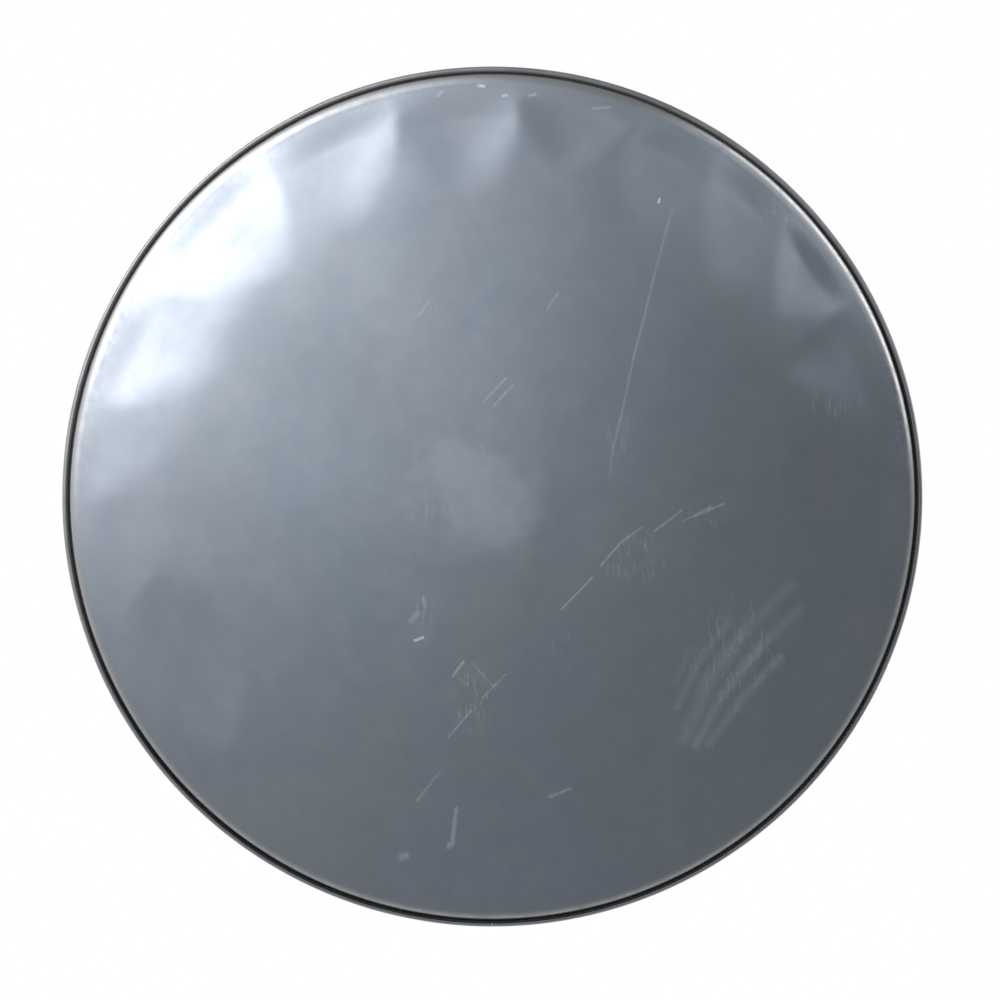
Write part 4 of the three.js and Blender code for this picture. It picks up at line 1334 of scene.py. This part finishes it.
def build_knob():
    """Six-lobed knob below the collar."""
    seg = 240
    lobe = (0.5 - 0.5 * np.cos(6 * angles(seg))) ** 1.6
    grip = [(scale * (KNOB_R - depth * lobe), h) for scale, depth, h in KNOB_GRIP]
    ob = grid_solid(KNOB_NECK + grip + KNOB_FACE, seg, "z", KNOB)
    finish_piece(ob, "extension_knob", "lock_knob", "knob_plastic", sharp=50)


def build_screw():
    seg = 64
    r, _, pitch = M8
    rows = [(0.0, -49.7), (3.4, -49.7), (r, -49.1), (r, -34.0)]
    rows += thread_rows(angles(seg), r, -34.0, -12.6, pitch, hand=-1, fade=0.6)
    rows += [(3.2, -12.0), (2.6, -11.5), (0.0, -11.5)]
    finish_piece(grid_solid(rows, seg, "z", KNOB), "extension_screw", "lock_knob",
                 "zinc_hardware", sharp=32, weighted=False)


# ---------------------------------------------------------------- wall bracket

PLATE_HOLE_X, PLATE_HOLE_Z = 31, 56
YOKE_HALF_W, YOKE_HALF_H, YOKE_T = 18, 25, 5


def build_plate():
    """Wall plate with rounded corners and four countersunk holes."""
    ob = prism(rounded_rect(PLATE_W / 2, PLATE_H / 2, 14, 16), -PLATE_T, 0, "y")
    sink = [
        (0, -PLATE_T - 2.5), (12.31, -PLATE_T - 2.5), (4.25, -PLATE_T + 2.4), (4.25, 5), (0, 5),
    ]
    for at in corner_places(PLATE_HOLE_X, PLATE_HOLE_Z):
        boolean(ob, "DIFFERENCE", turned(sink, 64, at=at))
    finish_piece(ob, "wall_plate", "wall_bracket", "bracket_paint", bevel=0.5)


def build_yoke():
    """U-shaped yoke bent from strip, its ears rounded about the pivot."""
    rear, inner, tip = -PLATE_T, -PLATE_T - YOKE_T, PAN_Y - 20
    high, low = YOKE_HALF_H, YOKE_HALF_H - YOKE_T
    strip = fillet([
        (rear, -high, 6.5), (rear, high, 6.5), (tip, high), (tip, low), (inner, low, 1.8),
        (inner, -low, 1.8), (tip, -low), (tip, -high),
    ], True, 8)
    ob = prism(strip, -YOKE_HALF_W, YOKE_HALF_W, "x")
    form = prism(tab(YOKE_HALF_W, rear - PAN_Y, 64), -40, 40, "z", PAN)
    boolean(ob, "INTERSECT", form)
    boolean(ob, "DIFFERENCE", rod("z", 5.4, -40, 40, PAN))
    finish_piece(ob, "wall_yoke", "wall_bracket", "bracket_paint", bevel=0.5)


def build_yoke_weld():
    corners = rounded_rect(18.4, 25.3, 1.5, 6)
    path = []
    for i, start in enumerate(corners):
        run = corners[(i + 1) % len(corners)] - start
        steps = max(1, int(np.linalg.norm(run) / 0.6))
        path += [start + run * k / steps for k in range(steps)]
    path = [(x, -PLATE_T - 0.55, z) for x, z in path]
    weld_bead("yoke_weld_bead", path, 1.9, ripple=0.3, ripples=52, body="wall_bracket",
              y_max=(-PLATE_T + 0.05) * MM)


def build_pan_hardware():
    common = {"at": PAN, "body": "wall_bracket"}
    bolt("pan_bolt", "z", M10, seat=26.8, top=33.2, tip=-39.0, thread_from=-24.0, **common)
    washer("pan_washer_top", "z", 5.5, 10.5, 25.1, 26.6, **common)
    washer("pan_washer_bottom", "z", 5.5, 10.5, -26.6, -25.1, **common)
    nut("pan_locknut", "z", 5.2, M10[1], -33.4, -26.8, collar=(7.7, -36.4), **common)


# ---------------------------------------------------------------- floor, world, lights, camera


def floor_material():
    """Pale matt floor that fades out to clear between two radii."""
    m = Surface("floor")
    # the fade's centre is in the floor's own coordinates
    offset = m.vmath("SUBTRACT", m.mm, (0, -180, 0))
    distance = m.vmath("LENGTH", m.vmath("MULTIPLY", offset, (1, 1, 0)))
    tone = m.mix(m.noise(size=400), (0.80, 0.805, 0.81), (0.83, 0.833, 0.836))
    m.finish(tone, rough=0.85, metal=0.0)
    clear = m.add("BsdfTransparent").outputs[0]
    fade = m.ease(distance, (700, 1080))
    mixed = m.add("MixShader", {0: fade, 1: m.shader.outputs[0], 2: clear})
    m.set(m.output.inputs["Surface"], mixed.outputs[0])
    return m.material


def build_floor():
    """Round floor; sizes in metres."""
    mesh = bpy.data.meshes.new("floor")
    with editing(mesh) as bm:
        bmesh.ops.create_circle(bm, cap_ends=True, cap_tris=False, segments=96, radius=1.1)
    floor = bpy.data.objects.new("floor", mesh)
    floor.location = (0, -0.18, -0.43)
    bpy.context.scene.collection.objects.link(floor)
    mesh.materials.append(floor_material())
    floor.visible_glossy = False


def cosine(degrees):
    return math.cos(math.radians(degrees))


def heading(polar, azimuth):
    """Unit direction at an angle from -Y, turned by azimuth from +X towards +Z."""
    p, a = math.radians(polar), math.radians(azimuth)
    return (math.sin(p) * math.cos(a), -math.cos(p), math.sin(p) * math.sin(a))


def reflected_room(g, direction):
    """Brightness by direction: a dim room with a window-like softbox at the upper left, a
    weaker panel at the upper right and soft light behind."""
    _, rearward, up = g.xyz(direction)

    def dot(vector):
        return g.vmath("DOT_PRODUCT", direction, vector)

    ahead = dot((0, -1, 0))
    side = g.math("SQRT", g.maximum(g.minus(1.0, g.times(ahead, ahead)), 1e-6))

    def polar(start, end):
        """0 at the start angle from straight ahead, 1 at the end angle."""
        return g.ease(ahead, (cosine(start), cosine(end)))

    def patch(level, rise, azimuth, span):
        """Light that rises with the polar angle, within a sector about an azimuth. span is
        the cosines of the angles from that azimuth between which it grows to full."""
        toward = dot((cosine(azimuth), 0, math.sin(math.radians(azimuth))))
        sector = g.ease(g.math("DIVIDE", toward, side), span)
        return g.times(g.times(level, polar(*rise)), sector)

    room = g.math("EXPONENT", g.plus(dot((-0.328, 0.0, -0.1156)), -2.1617))
    spread = g.times(5.07, g.minus(dot(heading(43.2, 136)), 1.0))
    glow = g.times(0.3121, g.math("EXPONENT", spread))
    lamp = g.times(0.600, g.ease(dot(heading(61.0, 140.4)), (cosine(28.0), cosine(0.0))))
    strip = patch(level=0.069, rise=(37, 49), azimuth=140, span=(0.15, 1.0))
    wide = patch(level=0.575, rise=(38.0, 56.4), azimuth=138, span=(0.626, 0.97))
    wide = g.times(wide, g.minus(1.0, g.times(0.9, polar(63, 82))))
    panel = patch(level=0.194, rise=(38.0, 55.0), azimuth=43.4, span=(0.90, 0.97))
    panel = g.times(panel, g.minus(1.0, polar(66, 84)))
    # pale surroundings beside and behind the rolled edge, and a narrow tube at the right
    beside = g.times(0.19, polar(54, 98))
    beside = g.times(beside, g.minus(1.0, g.times(0.8, g.ease(up, (0.0, 0.7)))))
    tube = patch(level=0.85, rise=(68, 77), azimuth=33, span=(0.85, 0.99))
    tube = g.times(tube, g.minus(1.0, polar(83, 91)))
    rear = g.times(g.times(0.26, g.ease(rearward, (0.15, 0.75))), g.ease(up, (-0.4, 0.9)))
    total = room
    for part in (glow, lamp, strip, wide, panel, beside, tube, rear):
        total = g.plus(total, part)
    return g.math("DIVIDE", total, 0.593)


def build_world():
    """White for the camera, the room in reflections, even pale light elsewhere."""
    world = bpy.data.worlds.new("studio")
    bpy.context.scene.world = world
    world.use_nodes = True
    g = Graph(world.node_tree)
    g.tree.nodes.clear()
    output = g.add("OutputWorld")
    total = reflected_room(g, g.add("TexCoord").outputs["Generated"])
    bright = g.ease(total, (0.45, 1.5))
    # red, green and blue factors in dim and in bright parts
    tints = ((0.954, 1.012), (1.002, 1.008), (1.072, 1.045))
    tinted = g.combine(*(
        g.times(total, g.plus(dim, g.times(full - dim, bright))) for dim, full in tints
    ))

    def background(color, strength):
        return g.add("Background", {0: color, 1: strength}).outputs[0]

    soft = background((0.93, 0.96, 1.0), strength=0.62)
    gloss = background(tinted, strength=1.0)
    white = background((1.0, 1.0, 1.0), strength=1.0)
    ray = g.add("LightPath").outputs
    lit = g.add("MixShader", {0: ray["Is Glossy Ray"], 1: soft, 2: gloss}).outputs[0]
    seen = g.add("MixShader", {0: ray["Is Camera Ray"], 1: lit, 2: white}).outputs[0]
    g.set(output.inputs["Surface"], seen)


def softbox(name, position, target, size, power, color=(1, 1, 1), glossy=True):
    """Rectangular area light aimed at a target; sizes in metres."""
    light = bpy.data.lights.new(name, "AREA")
    light.shape = "RECTANGLE"
    light.size, light.size_y = size
    light.energy, light.color = power, color
    ob = bpy.data.objects.new(name, light)
    ob.location = position
    aim = Vector(target) - Vector(position)
    ob.rotation_euler = aim.to_track_quat("-Z", "Y").to_euler()
    ob.visible_glossy = glossy
    bpy.context.scene.collection.objects.link(ob)


def build_lights():
    centre = Vector((0, RIM_Y * MM, 0))
    softbox("key", centre + 2.2 * Vector(heading(50, 137)), centre, size=(0.80, 0.62),
            power=14.0, color=(0.96, 0.98, 1.0), glossy=False)
    softbox("fill", (1.6, -0.6, 1.9), (0, -0.2, 0), size=(1.4, 1.4), power=26.0, glossy=False)
    softbox("back", (-1.3, 1.6, 1.2), (0, -0.2, 0), size=(1.2, 1.2), power=22.0)


def build_camera():
    """Long lens straight ahead of the mirror, a little off its axis."""
    sensor = 36.0
    distance = 6.0  # metres from the rim plane
    view_width = 2.3245002 * RIM_R * MM  # metres across at the rim plane
    off_x, off_z = 5.369596, -2.440725
    data = bpy.data.cameras.new("camera")
    camera = bpy.data.objects.new("camera", data)
    scene = bpy.context.scene
    scene.collection.objects.link(camera)
    data.sensor_width = sensor
    data.lens = sensor * distance / view_width
    data.clip_end = 50
    camera.location = (off_x * MM, RIM_Y * MM - distance, off_z * MM)
    camera.rotation_euler = (math.radians(90), 0, 0)
    scene.camera = camera
    scene.view_settings.view_transform = "Standard"
    scene.view_settings.look = "None"
    scene.view_settings.exposure = 0.0
    scene.view_settings.gamma = 1.0


for build in (
    build_dome, build_gasket, build_hoop, build_hoop_joint, build_pan, build_backing_disc,
    build_head_bolts, build_head_bracket, build_tilt_hardware, build_wing_nuts, build_knuckle,
    build_fork, build_inner_tube, build_swivel_pin, build_barrel, build_outer_tube,
    build_collar, build_guide_bush, build_knob, build_screw, build_plate, build_yoke,
    build_yoke_weld, build_pan_hardware, build_floor, build_world, build_lights, build_camera,
):
    build()
